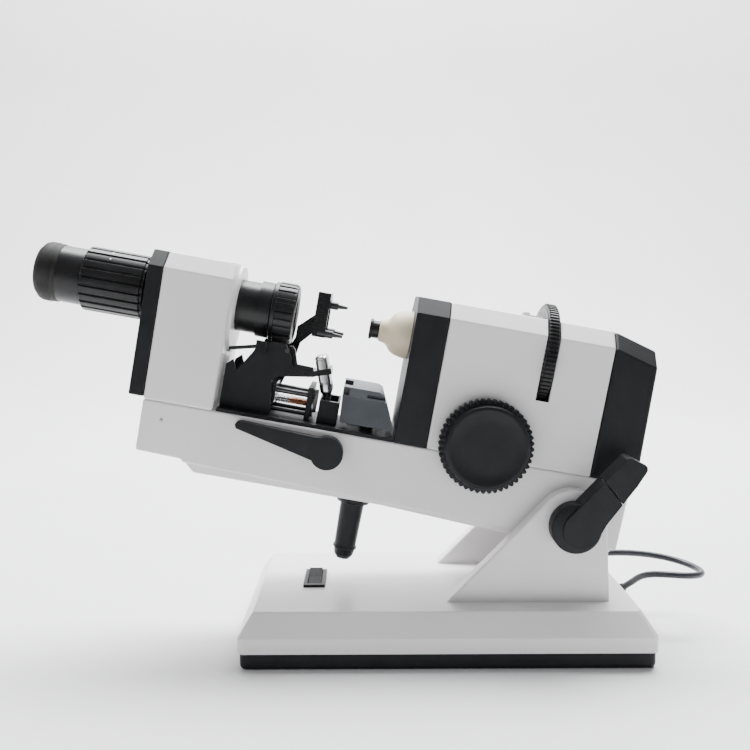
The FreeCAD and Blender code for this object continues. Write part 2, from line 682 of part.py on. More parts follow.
def build_front_cover():
    body = soften(section(cover_section(), "beam_front", "front_cover_rear"))
    flange = rod("X", ("front_cover_rear - 2", "front_cover_rear + 2.2"), ("0", "axis_height - 3"),
                 "flange_radius")
    hollow = cover_hollow("beam_front + wall", "front_cover_rear - wall")
    bore = rod("X", ("beam_front - 1", "front_cover_rear + 5"), ("0", "axis_height"), "tube_radius + 0.1")
    clip = box(("front_cover_rear - 5", "front_cover_rear + 5"), ("-50", "50"), ("cover_top - 2", "160"))
    head_part("front_housing", cut(fuse(body, flange), hollow, bore, clip))
    panel = soften(section(cover_section("seam + 1.6"), "plate_front", "beam_front"), "1.2")
    panel_bore = rod("X", ("plate_front - 1", "beam_front + 1"), ("0", "axis_height"), "tube_radius + 0.1")
    head_part("front_plate", cut(panel, panel_bore))


def build_rear_cover():
    fascia = soften(section(cover_section(), "fascia_front", "rear_cover_front"), "1.2")
    room = cover_hollow("fascia_front + wall", "rear_cover_front + 1")
    bore = rod("X", ("fascia_front - 1", "fascia_front + 5"), ("0", "axis_height"),
               "collimator_radius + 0.1")
    head_part("rear_front_plate", cut(fascia, room, bore))
    body = soften(section(cover_section(), "rear_cover_front", "rear_cover_rear"))
    hollow = cover_hollow("rear_cover_front - 1", "rear_cover_rear + 1")
    slot = box(("slot_front", "slot_rear"), ("-50", "50"), ("slot_bottom", "150"))
    shaft_hole = rod("Y", ("-half_width - 1", "0"), ("power_reach", "power_height"), "6.52")
    head_part("rear_housing", cut(body, hollow, slot, shaft_hole))


def slanted_edges(shape):
    """Names of the edges that run along the sloping top."""
    names = []
    for index, edge in enumerate(shape.Edges):
        bounds = edge.BoundBox
        if bounds.YLength < 0.01 and bounds.XLength > 5 and bounds.ZLength > 1 and bounds.ZMin > 100:
            names.append("Edge%d" % (index + 1))
    return names


def build_lamp_cover():
    body = plate([("rear_cover_rear", "seam"), ("lamp_cover_rear", "seam"),
                  ("lamp_cover_rear - 2.2", "lamp_cover_end_height"), ("rear_cover_rear", "cover_top")],
                 "-half_width", "half_width")
    doc.recompute()
    bind(dress(body, "Chamfer", slanted_edges(body.Shape)), "Size", "cover_bevel - 0.3")
    soften(body, "2")
    hollow = section([("wall - half_width", "seam - 1"), ("half_width - wall", "seam - 1"),
                      ("half_width - wall", "108"), ("20", "120"), ("-20", "120"),
                      ("wall - half_width", "108")], "rear_cover_rear - 1", "lamp_cover_rear - 5.2")
    slots = []
    for index in range(7):
        side = "%s - 14.7" % (4.6 * index)
        slots.append(box(("rear_cover_rear + 6", "lamp_cover_rear - 6"), (side, side + " + 1.8"),
                         ("112", "140")))
    head_part("lamp_cover", cut(body, hollow, *slots))
    pointer = fuse(box(("-54", "slot_front - 0.6"), ("-9", "-3"), ("cover_top", "cover_top + 1.2")),
                   rod("Z", ("cover_top", "cover_top + 2.6"), ("-51", "-6"), "2.6"))
    head_part("axis_pointer", group(pointer))


def build_deck():
    top = box(("front_cover_rear + 2.4", "fascia_front - 0.1"), ("-33.5", "33.5"), ("seam", "deck_top"))
    hole = rod("Z", ("seam - 1", "deck_top + 1"), ("column_reach", "0"), "6")
    rack_slot = box(("column_reach - 14.5", "column_reach"), ("-5", "5"), ("seam - 1", "deck_top + 1"))
    head_part("mechanism_tray", cut(top, hole, rack_slot))


def build_bushes():
    """Bearing bushes of the tilt axis, lift shaft, power shaft and table column."""
    wall_spans = (("-half_width", "wall - half_width"), ("half_width - wall", "half_width"))
    bushes = [tube("Y", span, ("0", "0"), "8", "shaft_radius + running") for span in wall_spans]
    bushes.append(tube("Y", ("-half_width", "-28"), ("lever_reach", "lever_height"), "6.5",
                       "drive_radius + running"))
    bushes.append(tube("Y", ("-half_width", "-28"), ("power_reach", "power_height"), "6.5",
                       "drive_radius + running"))
    upper = tube("Z", ("24", "seam"), ("column_reach", "0"), "8", "column_radius + running")
    rack_gap = box(("column_reach - 14.5", "column_reach - 3"), ("-4.6", "4.6"), ("20", "40"))
    bushes.append(cut(upper, rack_gap))
    bushes.append(tube("Z", ("pan_floor", "-10"), ("column_reach", "0"), "8", "column_radius + running"))
    head_part("bearing_bushes", group(*bushes))


# Telescope

def build_telescope():
    """Fixed tube with a neck for the focus ring and a scale ring for the prism ring."""
    profile = [("-357", "neck_radius"), ("focus_rear + 0.6", "neck_radius"),
               ("focus_rear + 0.6", "tube_radius"), ("-238", "tube_radius"), ("-238", "tube_radius + 1.6"),
               ("prism_front - 0.4", "tube_radius + 1.6"), ("prism_front - 0.4", "tube_bore + 1"),
               ("-220", "tube_bore + 1"), ("-220", "tube_bore"), ("-357", "tube_bore")]
    head_part("telescope_tube", turned_on_axis(profile))
    focus = [("focus_front", "focus_radius - 1"), ("focus_front + 1", "focus_radius"),
             ("focus_rear - 1", "focus_radius"), ("focus_rear", "focus_radius - 1"),
             ("focus_rear", "neck_radius + running"), ("-344.5", "neck_radius + running"),
             ("-344.5", "barrel_radius + running"), ("focus_front", "barrel_radius + running")]
    head_part("focus_ring", turned_on_axis(focus))
    barrel = [("eyecup_rear - 1", "barrel_radius"), ("-349", "barrel_radius"),
              ("-349", "neck_radius + 0.35"), ("eyecup_rear - 1", "neck_radius + 0.35")]
    head_part("eyepiece_barrel", turned_on_axis(barrel))
    cup = [("eyecup_front", "13"), ("eyecup_front", "16.5"), ("eyecup_front + 2.5", "eyecup_radius - 1.6"),
           ("eyecup_front + 5", "eyecup_radius"), ("eyecup_rear - 4", "eyecup_radius"),
           ("eyecup_rear - 3", "eyecup_radius - 0.8"), ("eyecup_rear - 1", "eyecup_radius - 0.8"),
           ("eyecup_rear - 1", "13")]
    head_part("eyecup", turned_on_axis(cup))
    lens = [("-391.5", "0"), ("-391", "6"), ("-389.5", "12.9"), ("-386.5", "12.9"), ("-386", "0")]
    head_part("eye_lens", turned_on_axis(lens))
    prism = [("prism_front", "prism_radius - 0.8"), ("prism_front + 0.8", "prism_radius"),
             ("prism_rear - 1.2", "prism_radius"), ("prism_rear", "prism_radius - 1.2"),
             ("prism_rear", "14"), ("-219", "14"), ("-219", "tube_bore + 1 + running"),
             ("prism_front", "tube_bore + 1 + running")]
    head_part("prism_ring", turned_on_axis(prism))
    glass = [("-217", "0"), ("-217", "13.95"), ("-214.5", "13.95"), ("-213.5", "7"), ("-213.2", "0")]
    head_part("objective_lens", turned_on_axis(glass))


# Lens stop, collimator and lamp

def build_nose():
    cone = [("cone_front", "stop_radius + 0.05"), ("cone_front", "7"), ("-147", "7.6"), ("-143.4", "10"),
            ("-141.4", "13.4"), ("-137.3", "15.9"), ("-133.4", "17"), ("fascia_front", "cone_radius"),
            ("fascia_front", "11"), ("-140", "stop_radius + 0.05")]
    head_part("nose_cone", turned_on_axis(cone))
    stop = [("nose_front", "stop_bore"), ("nose_front", "nose_radius"), ("nose_front + 2.4", "nose_radius"),
            ("nose_front + 2.4", "stop_radius"), ("-140.5", "stop_radius"), ("-140.5", "stop_bore")]
    head_part("lens_stop", turned_on_axis(stop))
    head_part("collimator_tube", tube("X", ("fascia_front + 0.1", "-98"), ("0", "axis_height"),
                                      "collimator_radius", "12"))
    lens = [("-112", "0"), ("-111.4", "6"), ("-109.5", "11.9"), ("-107", "11.9"), ("-105.1", "6"),
            ("-104.5", "0")]
    head_part("collimator_lens", turned_on_axis(lens))


def build_lamp():
    socket = [("24", "0"), ("24", "8"), ("30", "8"), ("30", "10.5"), ("34", "10.5"), ("34", "5"),
              ("36.2", "5"), ("36.2", "0")]
    head_part("lamp_socket", turned_on_axis(socket))
    bulb = [("10.5", "0"), ("11.2", "3.5"), ("13", "6"), ("15.5", "7.2"), ("18.5", "6.6"), ("21", "4.6"),
            ("23.9", "4"), ("23.9", "0")]
    head_part("lamp_bulb", turned_on_axis(bulb))


def build_optics_supports():
    """Plates that stand on the beam and hold the rails, the axis wheel and the filter."""
    rail_holes = [rod("X", ("-106", "-20"), (side, "rail_height"), "rail_radius + 0.02")
                  for side in ("rail_side", "-rail_side")]
    front = box(("-104", "-101"), ("-31.5", "31.5"), ("seam", "64"))
    bearing = fuse(box(("-27.5", "-24.5"), ("-31.5", "31.5"), ("seam", "119")),
                   rod("X", ("wheel_rear + 1", "-24.5"), ("0", "axis_height"), "12"))
    bearing_bore = rod("X", ("-33", "-20"), ("0", "axis_height"), "8.4 + running")
    lamp_plate = box(("1", "4"), ("-16", "16"), ("seam", "120"))
    window = rod("X", ("0", "5"), ("0", "axis_height"), "10")
    plates = [cut(front, *rail_holes), cut(bearing, bearing_bore), cut(lamp_plate, window)]
    head_part("optics_supports", group(*plates))


# Power drive, axis wheel and target

def build_power_drive():
    knob = [("-knob_back", "drive_radius + 0.02"), ("-knob_back", "knob_radius"),
            ("1.5 - knob_step", "knob_radius"), ("-knob_step", "knob_radius - 1.5"),
            ("-knob_step", "knob_disc_radius"), ("1.6 - knob_front", "knob_disc_radius"),
            ("-knob_front", "knob_disc_radius - 1.6"), ("-knob_front", "0"), ("-knob_step", "0"),
            ("-knob_step", "drive_radius + 0.02")]
    head_part("power_knob", turned_across("power_reach", "power_height", knob))
    reach, height = size("power_reach"), size("power_height")
    gear = involute_gear(POWER_MODULE, POWER_TEETH, -4, 4)
    gear.rotate(Vector(), Vector(0, 1, 0), 90)
    shaft = Part.makeCylinder(size("drive_radius"), size("knob_step") + 12, Vector(0, -size("knob_step"), 0),
                              Vector(0, 1, 0))
    pinion = gear.fuse(shaft)
    pinion.translate(Vector(reach, 0, height))
    head_part("power_pinion", group(code_piece(pinion)))


def build_target():
    wheel = [("wheel_front", "target_radius + running"), ("wheel_front", "wheel_radius - 1"),
             ("wheel_front + 1", "wheel_radius"), ("wheel_rear - 1", "wheel_radius"),
             ("wheel_rear", "wheel_radius - 1"), ("wheel_rear", "8.4"), ("-24.6", "8.4"),
             ("-24.6", "target_radius + running")]
    head_part("axis_wheel", turned_on_axis(wheel))
    target = [("-80", "3.5"), ("-80", "8.5"), ("-77.05", "8.5"), ("-77.05", "target_radius"),
              ("-72.95", "target_radius"), ("-72.95", "8.5"), ("-70", "8.5"), ("-70", "target_radius"),
              ("-18", "target_radius"), ("-18", "4.5"), ("-76", "4.5"), ("-76", "3.5")]
    head_part("target_tube", turned_on_axis(target))
    block = box(("-84", "-50"), ("-18", "18"), ("50", "58.5"))
    post = box(("-77", "-73"), ("-11", "11"), ("58", "axis_height + 11"))
    rail_bores = [rod("X", ("-90", "-40"), (side, "rail_height"), "rail_radius + running")
                  for side in ("rail_side", "-rail_side")]
    spindle_bore = rod("X", ("-78", "-72"), ("0", "axis_height"), "target_radius + running")
    pitch_line = size("power_height") + POWER_MODULE * POWER_TEETH / 2
    teeth = rack_outline(POWER_MODULE, 14, 50.4 - pitch_line)
    drive_rack = rack(teeth, -4, 4, Vector(size("power_reach"), 0, pitch_line), 0)
    carriage = fuse(cut(fuse(block, post), spindle_bore, *rail_bores), code_piece(drive_rack))
    head_part("target_carriage", carriage)


# Spectacle table and lift

def build_table():
    left, right = "-169", "-139"
    top = plate([(left, "table_fold"), ("-139", "table_fold"), ("-139", "table_top - 5"),
                 ("-140.6", "table_top - 1.5"), ("-144", "table_top"), (left, "table_top")],
                "-table_half_depth", "table_half_depth")
    skirt = doc.addObject("Part::Wedge", "Skirt")
    bounds = {"Xmin": "-168", "Xmax": "fascia_front - 1.2", "Zmin": "-33", "Zmax": "33", "Ymin": "0",
              "Ymax": "table_fold - table_bottom", "X2min": left, "X2max": "-138.2",
              "Z2min": "-table_half_depth", "Z2max": "table_half_depth"}
    for prop, text in bounds.items():
        bind(skirt, prop, text)
    skirt.Placement.Rotation = FreeCAD.Rotation(Vector(1, 0, 0), 90)
    bind(skirt, "Placement.Base.z", "table_bottom")
    bore = rod("Z", ("table_bottom - 1", "60.02"), ("column_reach", "0"), "column_radius + 0.02")
    room = box(("-164", "-134"), ("-26", "26"), ("table_bottom - 1", "52"))
    boss = rod("Z", ("table_bottom", "table_fold"), ("column_reach", "0"), "9")
    groove = box(("-152", "-138"), ("-31", "-27"), ("table_fold + 1.4", "table_fold + 3.6"))
    notch = box(("-170", "-164.6"), ("-31", "-25"), ("table_fold + 0.8", "table_top - 1"))
    pen_room = box(("-170", "-162.6"), ("-16", "16"), ("table_bottom - 1", "table_top + 1"))
    body = fuse(cut(fuse(top, skirt), room), boss)
    head_part("spectacle_table", cut(body, bore, groove, notch, pen_room))


def build_lift():
    rod_piece = rod("Z", ("-38", "60"), ("column_reach", "0"), "column_radius")
    pitch_line = size("lever_reach") + LIFT_MODULE * LIFT_TEETH / 2
    back = size("column_reach - column_radius + 0.6") - pitch_line
    teeth = rack_outline(LIFT_MODULE, 10, back)
    rack_centre = size("lever_height") - 2 * math.pi * LIFT_MODULE
    lift_rack = rack(teeth, -4, 4, Vector(pitch_line, 0, rack_centre), 90)
    head_part("table_column", fuse(rod_piece, code_piece(lift_rack)))
    gear = involute_gear(LIFT_MODULE, LIFT_TEETH, -4, 4)
    shaft = Part.makeCylinder(size("drive_radius"), size("lever_front") - 2 + 12,
                              Vector(0, 2 - size("lever_front"), 0), Vector(0, 1, 0))
    lift = gear.fuse(shaft)
    lift.translate(Vector(size("lever_reach"), 0, size("lever_height")))
    head_part("lift_gear", group(code_piece(lift)))
    hub = rod("Y", ("-lever_front", "-lever_back"), ("lever_reach", "lever_height"), "lever_hub_radius")
    outline = [("2", "10.9"), ("-8.5", "9.8"), ("-61", "11.8"), ("-63", "11"), ("-64.2", "8.6"),
               ("-63", "6.2"), ("-10", "-6.4"), ("0", "-8")]
    arm = plate([("lever_reach + %s" % x, "lever_height + %s" % z) for x, z in outline],
                "0.6 - lever_front", "-lever_back - 1.4")
    bore = rod("Y", ("1.98 - lever_front", "-lever_back + 1"), ("lever_reach", "lever_height"),
               "drive_radius + 0.02")
    head_part("table_lever", cut(fuse(hub, soften(arm, "0.9")), bore))


def build_guard():
    """Flanged hand grip under the beam that encloses the table column's lower end."""
    profile = [("guard_bore", "pan_floor"), ("guard_flange_radius", "pan_floor"),
               ("guard_flange_radius", "-19.4"), ("guard_flange_radius - 1.2", "-21.6"),
               ("guard_radius + 0.8", "-22.6"), ("guard_radius", "-54.3"), ("guard_radius + 0.8", "-54.6"),
               ("guard_radius + 0.8", "-55.8"), ("guard_radius", "-56.2"), ("guard_radius - 1", "-61"),
               ("guard_radius - 3.2", "guard_bottom + 0.8"), ("2", "guard_bottom"), ("0", "guard_bottom"),
               ("0", "-56"), ("guard_bore", "-56")]
    head_part("column_guard", turned_upright("column_reach", profile))


# Lens holder, marker and mechanism frame

def build_mechanism_frame():
    """Two cheeks with a tie and a front block, the end plate and the trough of the pens."""
    outline = [("-252.2", "deck_top"), ("-252.2", "64"), ("-247.7", "68"), ("-244.6", "60.5"),
               ("-234.7", "76"), ("-232.6", "82.8"), ("-220", "84.8"), ("-213.5", "84.4"), ("-209", "77"),
               ("-206.5", "69"), ("-219", "58"), ("-216.5", "deck_top")]
    near_cheek = plate(outline, "-frame_outer", "-frame_inner")
    far_cheek = plate(outline, "frame_inner", "frame_outer")
    tie = box(("-250", "-244.5"), ("-frame_outer", "frame_outer"), ("deck_top", "40"))
    pin_hole = rod("Y", ("-frame_outer - 1", "1 - frame_inner"), ("marker_reach", "marker_height"), "1.52")
    end_plate = box(("-193", "-189.5"), ("-22", "22"), ("deck_top", "57.5"))
    rods = [("holder_rod_side", "holder_rod_height", "holder_rod_radius + 0.02"),
            ("-holder_rod_side", "holder_rod_height", "holder_rod_radius + 0.02"),
            ("holder_rod_side", "37.5", "1.62"), ("-holder_rod_side", "37.5", "1.62")]
    holes = [rod("X", ("-252", "-185"), (side, height), radius) for side, height, radius in rods]
    trough = cut(box(("-184", "-169.9"), ("-22", "22"), ("deck_top", "50.3")),
                 box(("-182.6", "-171.2"), ("-17", "17"), ("43", "51")))
    release_pin = rod("Y", ("-frame_outer - 2.9", "-frame_outer"), ("release_reach", "release_height"),
                      "1.5")
    frame = cut(fuse(near_cheek, far_cheek, tie, release_pin), pin_hole, *holes)
    front_block = box(("-244.5", "-238"), ("0.6 - frame_inner", "frame_inner - 0.6"), ("deck_top", "56"))
    pieces = [fuse(frame, cut(front_block, *holes)), cut(end_plate, *holes), trough]
    head_part("mechanism_frame", group(*pieces))


def build_rods():
    """Steel rods of the lens holder and the target carriage, and the marker's pin."""
    rods = []
    for side in ("holder_rod_side", "-holder_rod_side"):
        rods.append(rod("X", ("-250", "-188"), (side, "holder_rod_height"), "holder_rod_radius"))
        rods.append(rod("X", ("-250", "-188"), (side, "37.5"), "1.6"))
    for side in ("rail_side", "-rail_side"):
        rods.append(rod("X", ("-104", "-27.6"), (side, "rail_height"), "rail_radius"))
    rods.append(rod("Y", ("-frame_outer", "-11.6"), ("marker_reach", "marker_height"), "1.5"))
    head_part("guide_rods", group(*rods))
    springs = [tube("X", ("-216", "-193"), (side, "44"), "2.4", "1.7") for side in ("5", "-5")]
    head_part("holder_springs", group(*springs))
    head_part("ink_pad", group(rod("X", ("-188.6", "-186.2"), ("0", "46.2"), "pad_disc_radius"),
                               rod("X", ("-189.5", "-188.6"), ("0", "46.2"), "3")))


def build_lens_holder():
    """Carriage on two rods, an arm on the far side and a three pin frame round the light path."""
    carriage = box(("-228", "-216"), ("-14.6", "leg_outer"), ("41", "56"))
    arm = plate([("-228", "50"), ("-216", "50"), ("-209", "70"), ("-206.5", "84.5"), ("-196", "96"),
                 ("-196", "108"), ("-199", "106.8"), ("-210.6", "96"), ("-210.6", "88"), ("-214", "80"),
                 ("-221.5", "62")],
                "leg_inner", "leg_outer")
    legs = [box(("-197.5", "-188.5"), ("leg_inner", "leg_outer"), ("93", "124")),
            box(("-197.5", "-188.5"), ("-leg_outer", "-leg_inner"), ("93", "124"))]
    bar = box(("-197.5", "-188.5"), ("-leg_outer", "leg_outer"), ("119.6", "124"))
    lug = box(("-197.5", "-188.5"), ("-3.4", "3.4"), ("112.4", "120"))
    rod_bores = [rod("X", ("-230", "-210"), (side, "holder_rod_height"), "holder_rod_radius + running")
                 for side in ("holder_rod_side", "-holder_rod_side")]
    pin_bores = [rod("X", ("-194", "-188"), centre, "2.02") for centre in pin_centres()]
    head_part("lens_holder", cut(fuse(carriage, arm, bar, lug, *legs), *(rod_bores + pin_bores)))
    pins = []
    for centre in pin_centres():
        pins.append(fuse(rod("X", ("-194", "-188.5"), centre, "2"),
                         rod("X", ("-188.5", "-183"), centre, "2.7"),
                         taper("X", ("-183", "-176.2"), centre, "1.7", "1")))
    head_part("holder_pins", group(*pins))


def pin_centres():
    return [("0", "115.8"), ("-(leg_inner + leg_outer) / 2", "96"), ("(leg_inner + leg_outer) / 2", "96")]


def lean(obj):
    """Turns a piece drawn upright about the origin onto the pens' axis through their tips."""
    obj.Placement = FreeCAD.Placement(Vector(size("pen_tip_reach"), 0, size("pen_tip_height")),
                                      FreeCAD.Rotation(Vector(0, 1, 0), size("pen_lean")))
    return obj


def build_marker():
    """Swinging arm with three pens whose tips rest beside the ink pad."""
    sides = ["%d * pen_spacing" % index for index in (-1, 0, 1)]
    barrels = [rod("Z", ("6.5", "35"), ("0", side), "pen_radius") for side in sides]
    tips = [taper("Z", ("0", "6.5"), ("0", side), "0.7", "2.6") for side in sides]
    head_part("pen_barrels", group(lean(group(*barrels))))
    head_part("pen_tips", group(lean(group(*tips))))
    clamp = lean(cut(box(("-8", "6"), ("-14.4", "14.4"), ("21.5", "25.5")),
                     *[rod("Z", ("20", "27"), ("0", side), "pen_radius + 0.02") for side in sides]))
    arm = plate([("-219", "60"), ("-191", "64.4"), ("-192.6", "71"), ("-204", "71.4"),
                 ("marker_reach + 5", "marker_height + 1"), ("marker_reach + 3", "marker_height + 3.2"),
                 ("marker_reach - 3", "marker_height + 3"), ("marker_reach - 5", "marker_height - 2"),
                 ("-219", "66.5")], "-14.4", "-12")
    pivot_bore = rod("Y", ("-17", "-11"), ("marker_reach", "marker_height"), "1.5 + running")
    head_part("marker_arm", cut(fuse(arm, clamp), pivot_bore))


def build_release():
    """Rocking lever on the near cheek that lets the lens holder go."""
    block_span = ("-frame_outer - 4.5", "-frame_outer - 0.3")
    lever_block = cut(box(("release_reach - 4.5", "release_reach + 3.5"), block_span,
                          ("release_height - 4", "release_height + 4")),
                      rod("Y", ("-frame_outer - 3.1", "-frame_outer"), ("release_reach", "release_height"),
                          "1.5 + running"))
    start = Vector(size("release_reach") - 3, -size("frame_outer") - 2.7, size("release_height"))
    stick = code_piece(Part.makeCylinder(1.3, 20, start, Vector(-0.97, 0, -0.24)))
    head_part("release_lever", fuse(lever_block, stick))


# Checks and export

def check_and_export():
    doc.recompute()
    faults = [item.Label for item in doc.Objects if "Invalid" in item.State or "Error" in item.State]
    for part in SUB_PARTS:
        if part.Shape.isNull() or not part.Shape.isValid() or not part.Shape.Solids:
            faults.append(part.Label)
    if faults:
        raise RuntimeError("faulty objects: " + ", ".join(faults))
    os.makedirs("parts", exist_ok=True)
    for part in SUB_PARTS:
        part.Shape.exportStep("parts/%s.step" % part.Label)
    print(len(SUB_PARTS), "sub-parts written")


BUILDERS = (
    build_base_cover, build_base_tray, build_base_inside, build_switch, build_inlet, build_cord,
    build_tilt_axis, build_beam, build_pan, build_front_cover, build_rear_cover, build_lamp_cover,
    build_deck, build_bushes, build_telescope, build_nose, build_lamp, build_optics_supports,
    build_power_drive, build_target, build_table, build_lift, build_guard, build_mechanism_frame,
    build_rods, build_lens_holder, build_marker, build_release,
)


def main():
    fill_sheet()
    for build in BUILDERS:
        build()
    check_and_export()


main()
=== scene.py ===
import json
import math

import bmesh
import bpy
from mathutils import Matrix, Vector


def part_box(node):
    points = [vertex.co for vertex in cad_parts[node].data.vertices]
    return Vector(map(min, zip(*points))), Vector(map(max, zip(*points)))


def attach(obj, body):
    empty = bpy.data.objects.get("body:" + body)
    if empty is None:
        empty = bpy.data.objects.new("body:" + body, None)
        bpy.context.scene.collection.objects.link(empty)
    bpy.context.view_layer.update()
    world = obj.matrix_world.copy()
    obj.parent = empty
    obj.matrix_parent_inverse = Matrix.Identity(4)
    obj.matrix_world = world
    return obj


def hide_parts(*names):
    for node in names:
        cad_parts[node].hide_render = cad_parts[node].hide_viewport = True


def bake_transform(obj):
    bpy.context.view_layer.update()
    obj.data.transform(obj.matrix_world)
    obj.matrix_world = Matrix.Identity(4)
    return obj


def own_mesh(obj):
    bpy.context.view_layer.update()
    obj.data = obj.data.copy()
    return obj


# Manual lensmeter. Lengths are in metres. Head pieces are drawn in the head's level frame,
# whose origin is the tilt axis, with X along the optical axis towards the lamp and Z up.
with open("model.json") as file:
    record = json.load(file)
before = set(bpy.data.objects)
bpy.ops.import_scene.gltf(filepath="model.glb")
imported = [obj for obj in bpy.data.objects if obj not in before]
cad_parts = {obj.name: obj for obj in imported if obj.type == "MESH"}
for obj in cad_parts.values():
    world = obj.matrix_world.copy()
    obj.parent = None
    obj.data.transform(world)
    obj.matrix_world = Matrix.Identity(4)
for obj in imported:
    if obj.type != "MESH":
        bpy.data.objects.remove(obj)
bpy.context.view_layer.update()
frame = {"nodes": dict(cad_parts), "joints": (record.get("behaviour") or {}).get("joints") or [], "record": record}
NODES = frame["nodes"]
JOINTS = {joint["name"]: joint for joint in frame["joints"]}

PIVOT = Vector(JOINTS["head_tilt"]["pos_m"])
ALONG = Vector(JOINTS["prism_turn"]["axis"]).normalized()
ACROSS = Vector((0, 1, 0))
HEAD_AXES = Matrix((ALONG, ACROSS, ALONG.cross(ACROSS))).transposed().to_4x4()
HEAD = Matrix.Translation(PIVOT) @ HEAD_AXES


def level_box(node):
    """Lowest and highest corner of a head node in the head's level frame."""
    inverse = HEAD.inverted()
    points = [inverse @ vertex.co for vertex in NODES[node].data.vertices]
    low = Vector([min(point[axis] for point in points) for axis in range(3)])
    high = Vector([max(point[axis] for point in points) for axis in range(3)])
    return low, high


# Camera, worked out from the viewing position and direction

CAMERA_PLACE = Vector((-0.05376, -0.62992, 0.24787))
CAMERA_DOWN = math.radians(5.494)
CAMERA_RIGHT = math.radians(0.563)
CAMERA_LENS = 42.24


def make_camera():
    data = bpy.data.cameras.new("camera")
    data.lens = CAMERA_LENS
    data.sensor_width = 36
    data.clip_start = 0.02
    camera = bpy.data.objects.new("camera", data)
    camera.location = CAMERA_PLACE
    camera.rotation_euler = (math.pi / 2 - CAMERA_DOWN, 0, -CAMERA_RIGHT)
    bpy.context.scene.collection.objects.link(camera)
    bpy.context.scene.camera = camera


# Materials

def link(tree, source, output, target, socket):
    tree.links.new(source.outputs[output], target.inputs[socket])


def noise(tree, scale, detail=3.0, stretch=(1, 1, 1)):
    """Noise in the object's own space, in features per metre."""
    place = tree.nodes.new("ShaderNodeTexCoord")
    mapping = tree.nodes.new("ShaderNodeMapping")
    mapping.inputs["Scale"].default_value = stretch
    texture = tree.nodes.new("ShaderNodeTexNoise")
    texture.inputs["Scale"].default_value = scale
    texture.inputs["Detail"].default_value = detail
    link(tree, place, "Object", mapping, "Vector")
    link(tree, mapping, "Vector", texture, "Vector")
    return texture


def between(tree, texture, low, high):
    """Maps the middle of a noise onto a range."""
    scaled = tree.nodes.new("ShaderNodeMapRange")
    scaled.inputs["From Min"].default_value = 0.3
    scaled.inputs["From Max"].default_value = 0.7
    scaled.inputs["To Min"].default_value = low
    scaled.inputs["To Max"].default_value = high
    link(tree, texture, "Fac", scaled, "Value")
    return scaled


def finish_of(name, dark, light, rough, grain, relief, mottle=25, metallic=0.0, coat=0.0,
              stretch=(1, 1, 1), specular=0.5):
    """Mottled colour between dark and light, with roughness and relief from a fine grain."""
    material = bpy.data.materials.new(name)
    material.use_nodes = True
    tree = material.node_tree
    shader = tree.nodes["Principled BSDF"]
    shader.inputs["Metallic"].default_value = metallic
    shader.inputs["Coat Weight"].default_value = coat
    shader.inputs["Coat Roughness"].default_value = 0.12
    shader.inputs["Specular IOR Level"].default_value = specular
    colour = tree.nodes.new("ShaderNodeValToRGB")
    colour.color_ramp.elements[0].position = 0.3
    colour.color_ramp.elements[0].color = (*dark, 1)
    colour.color_ramp.elements[1].position = 0.7
    colour.color_ramp.elements[1].color = (*light, 1)
    link(tree, noise(tree, mottle, 6.0, stretch), "Fac", colour, "Fac")
    link(tree, colour, "Color", shader, "Base Color")
    fine = noise(tree, grain, 4.0, stretch)
    link(tree, between(tree, fine, *rough), "Result", shader, "Roughness")
    bump = tree.nodes.new("ShaderNodeBump")
    bump.inputs["Strength"].default_value = 0.6
    bump.inputs["Distance"].default_value = relief
    link(tree, fine, "Fac", bump, "Height")
    link(tree, bump, "Normal", shader, "Normal")
    return material


def glass(name, tint, rough):
    material = finish_of(name, tint, (1, 1, 1), rough, 300, 0.000004, specular=0.6)
    shader = material.node_tree.nodes["Principled BSDF"]
    shader.inputs["Transmission Weight"].default_value = 0.9
    shader.inputs["IOR"].default_value = 1.5
    return material


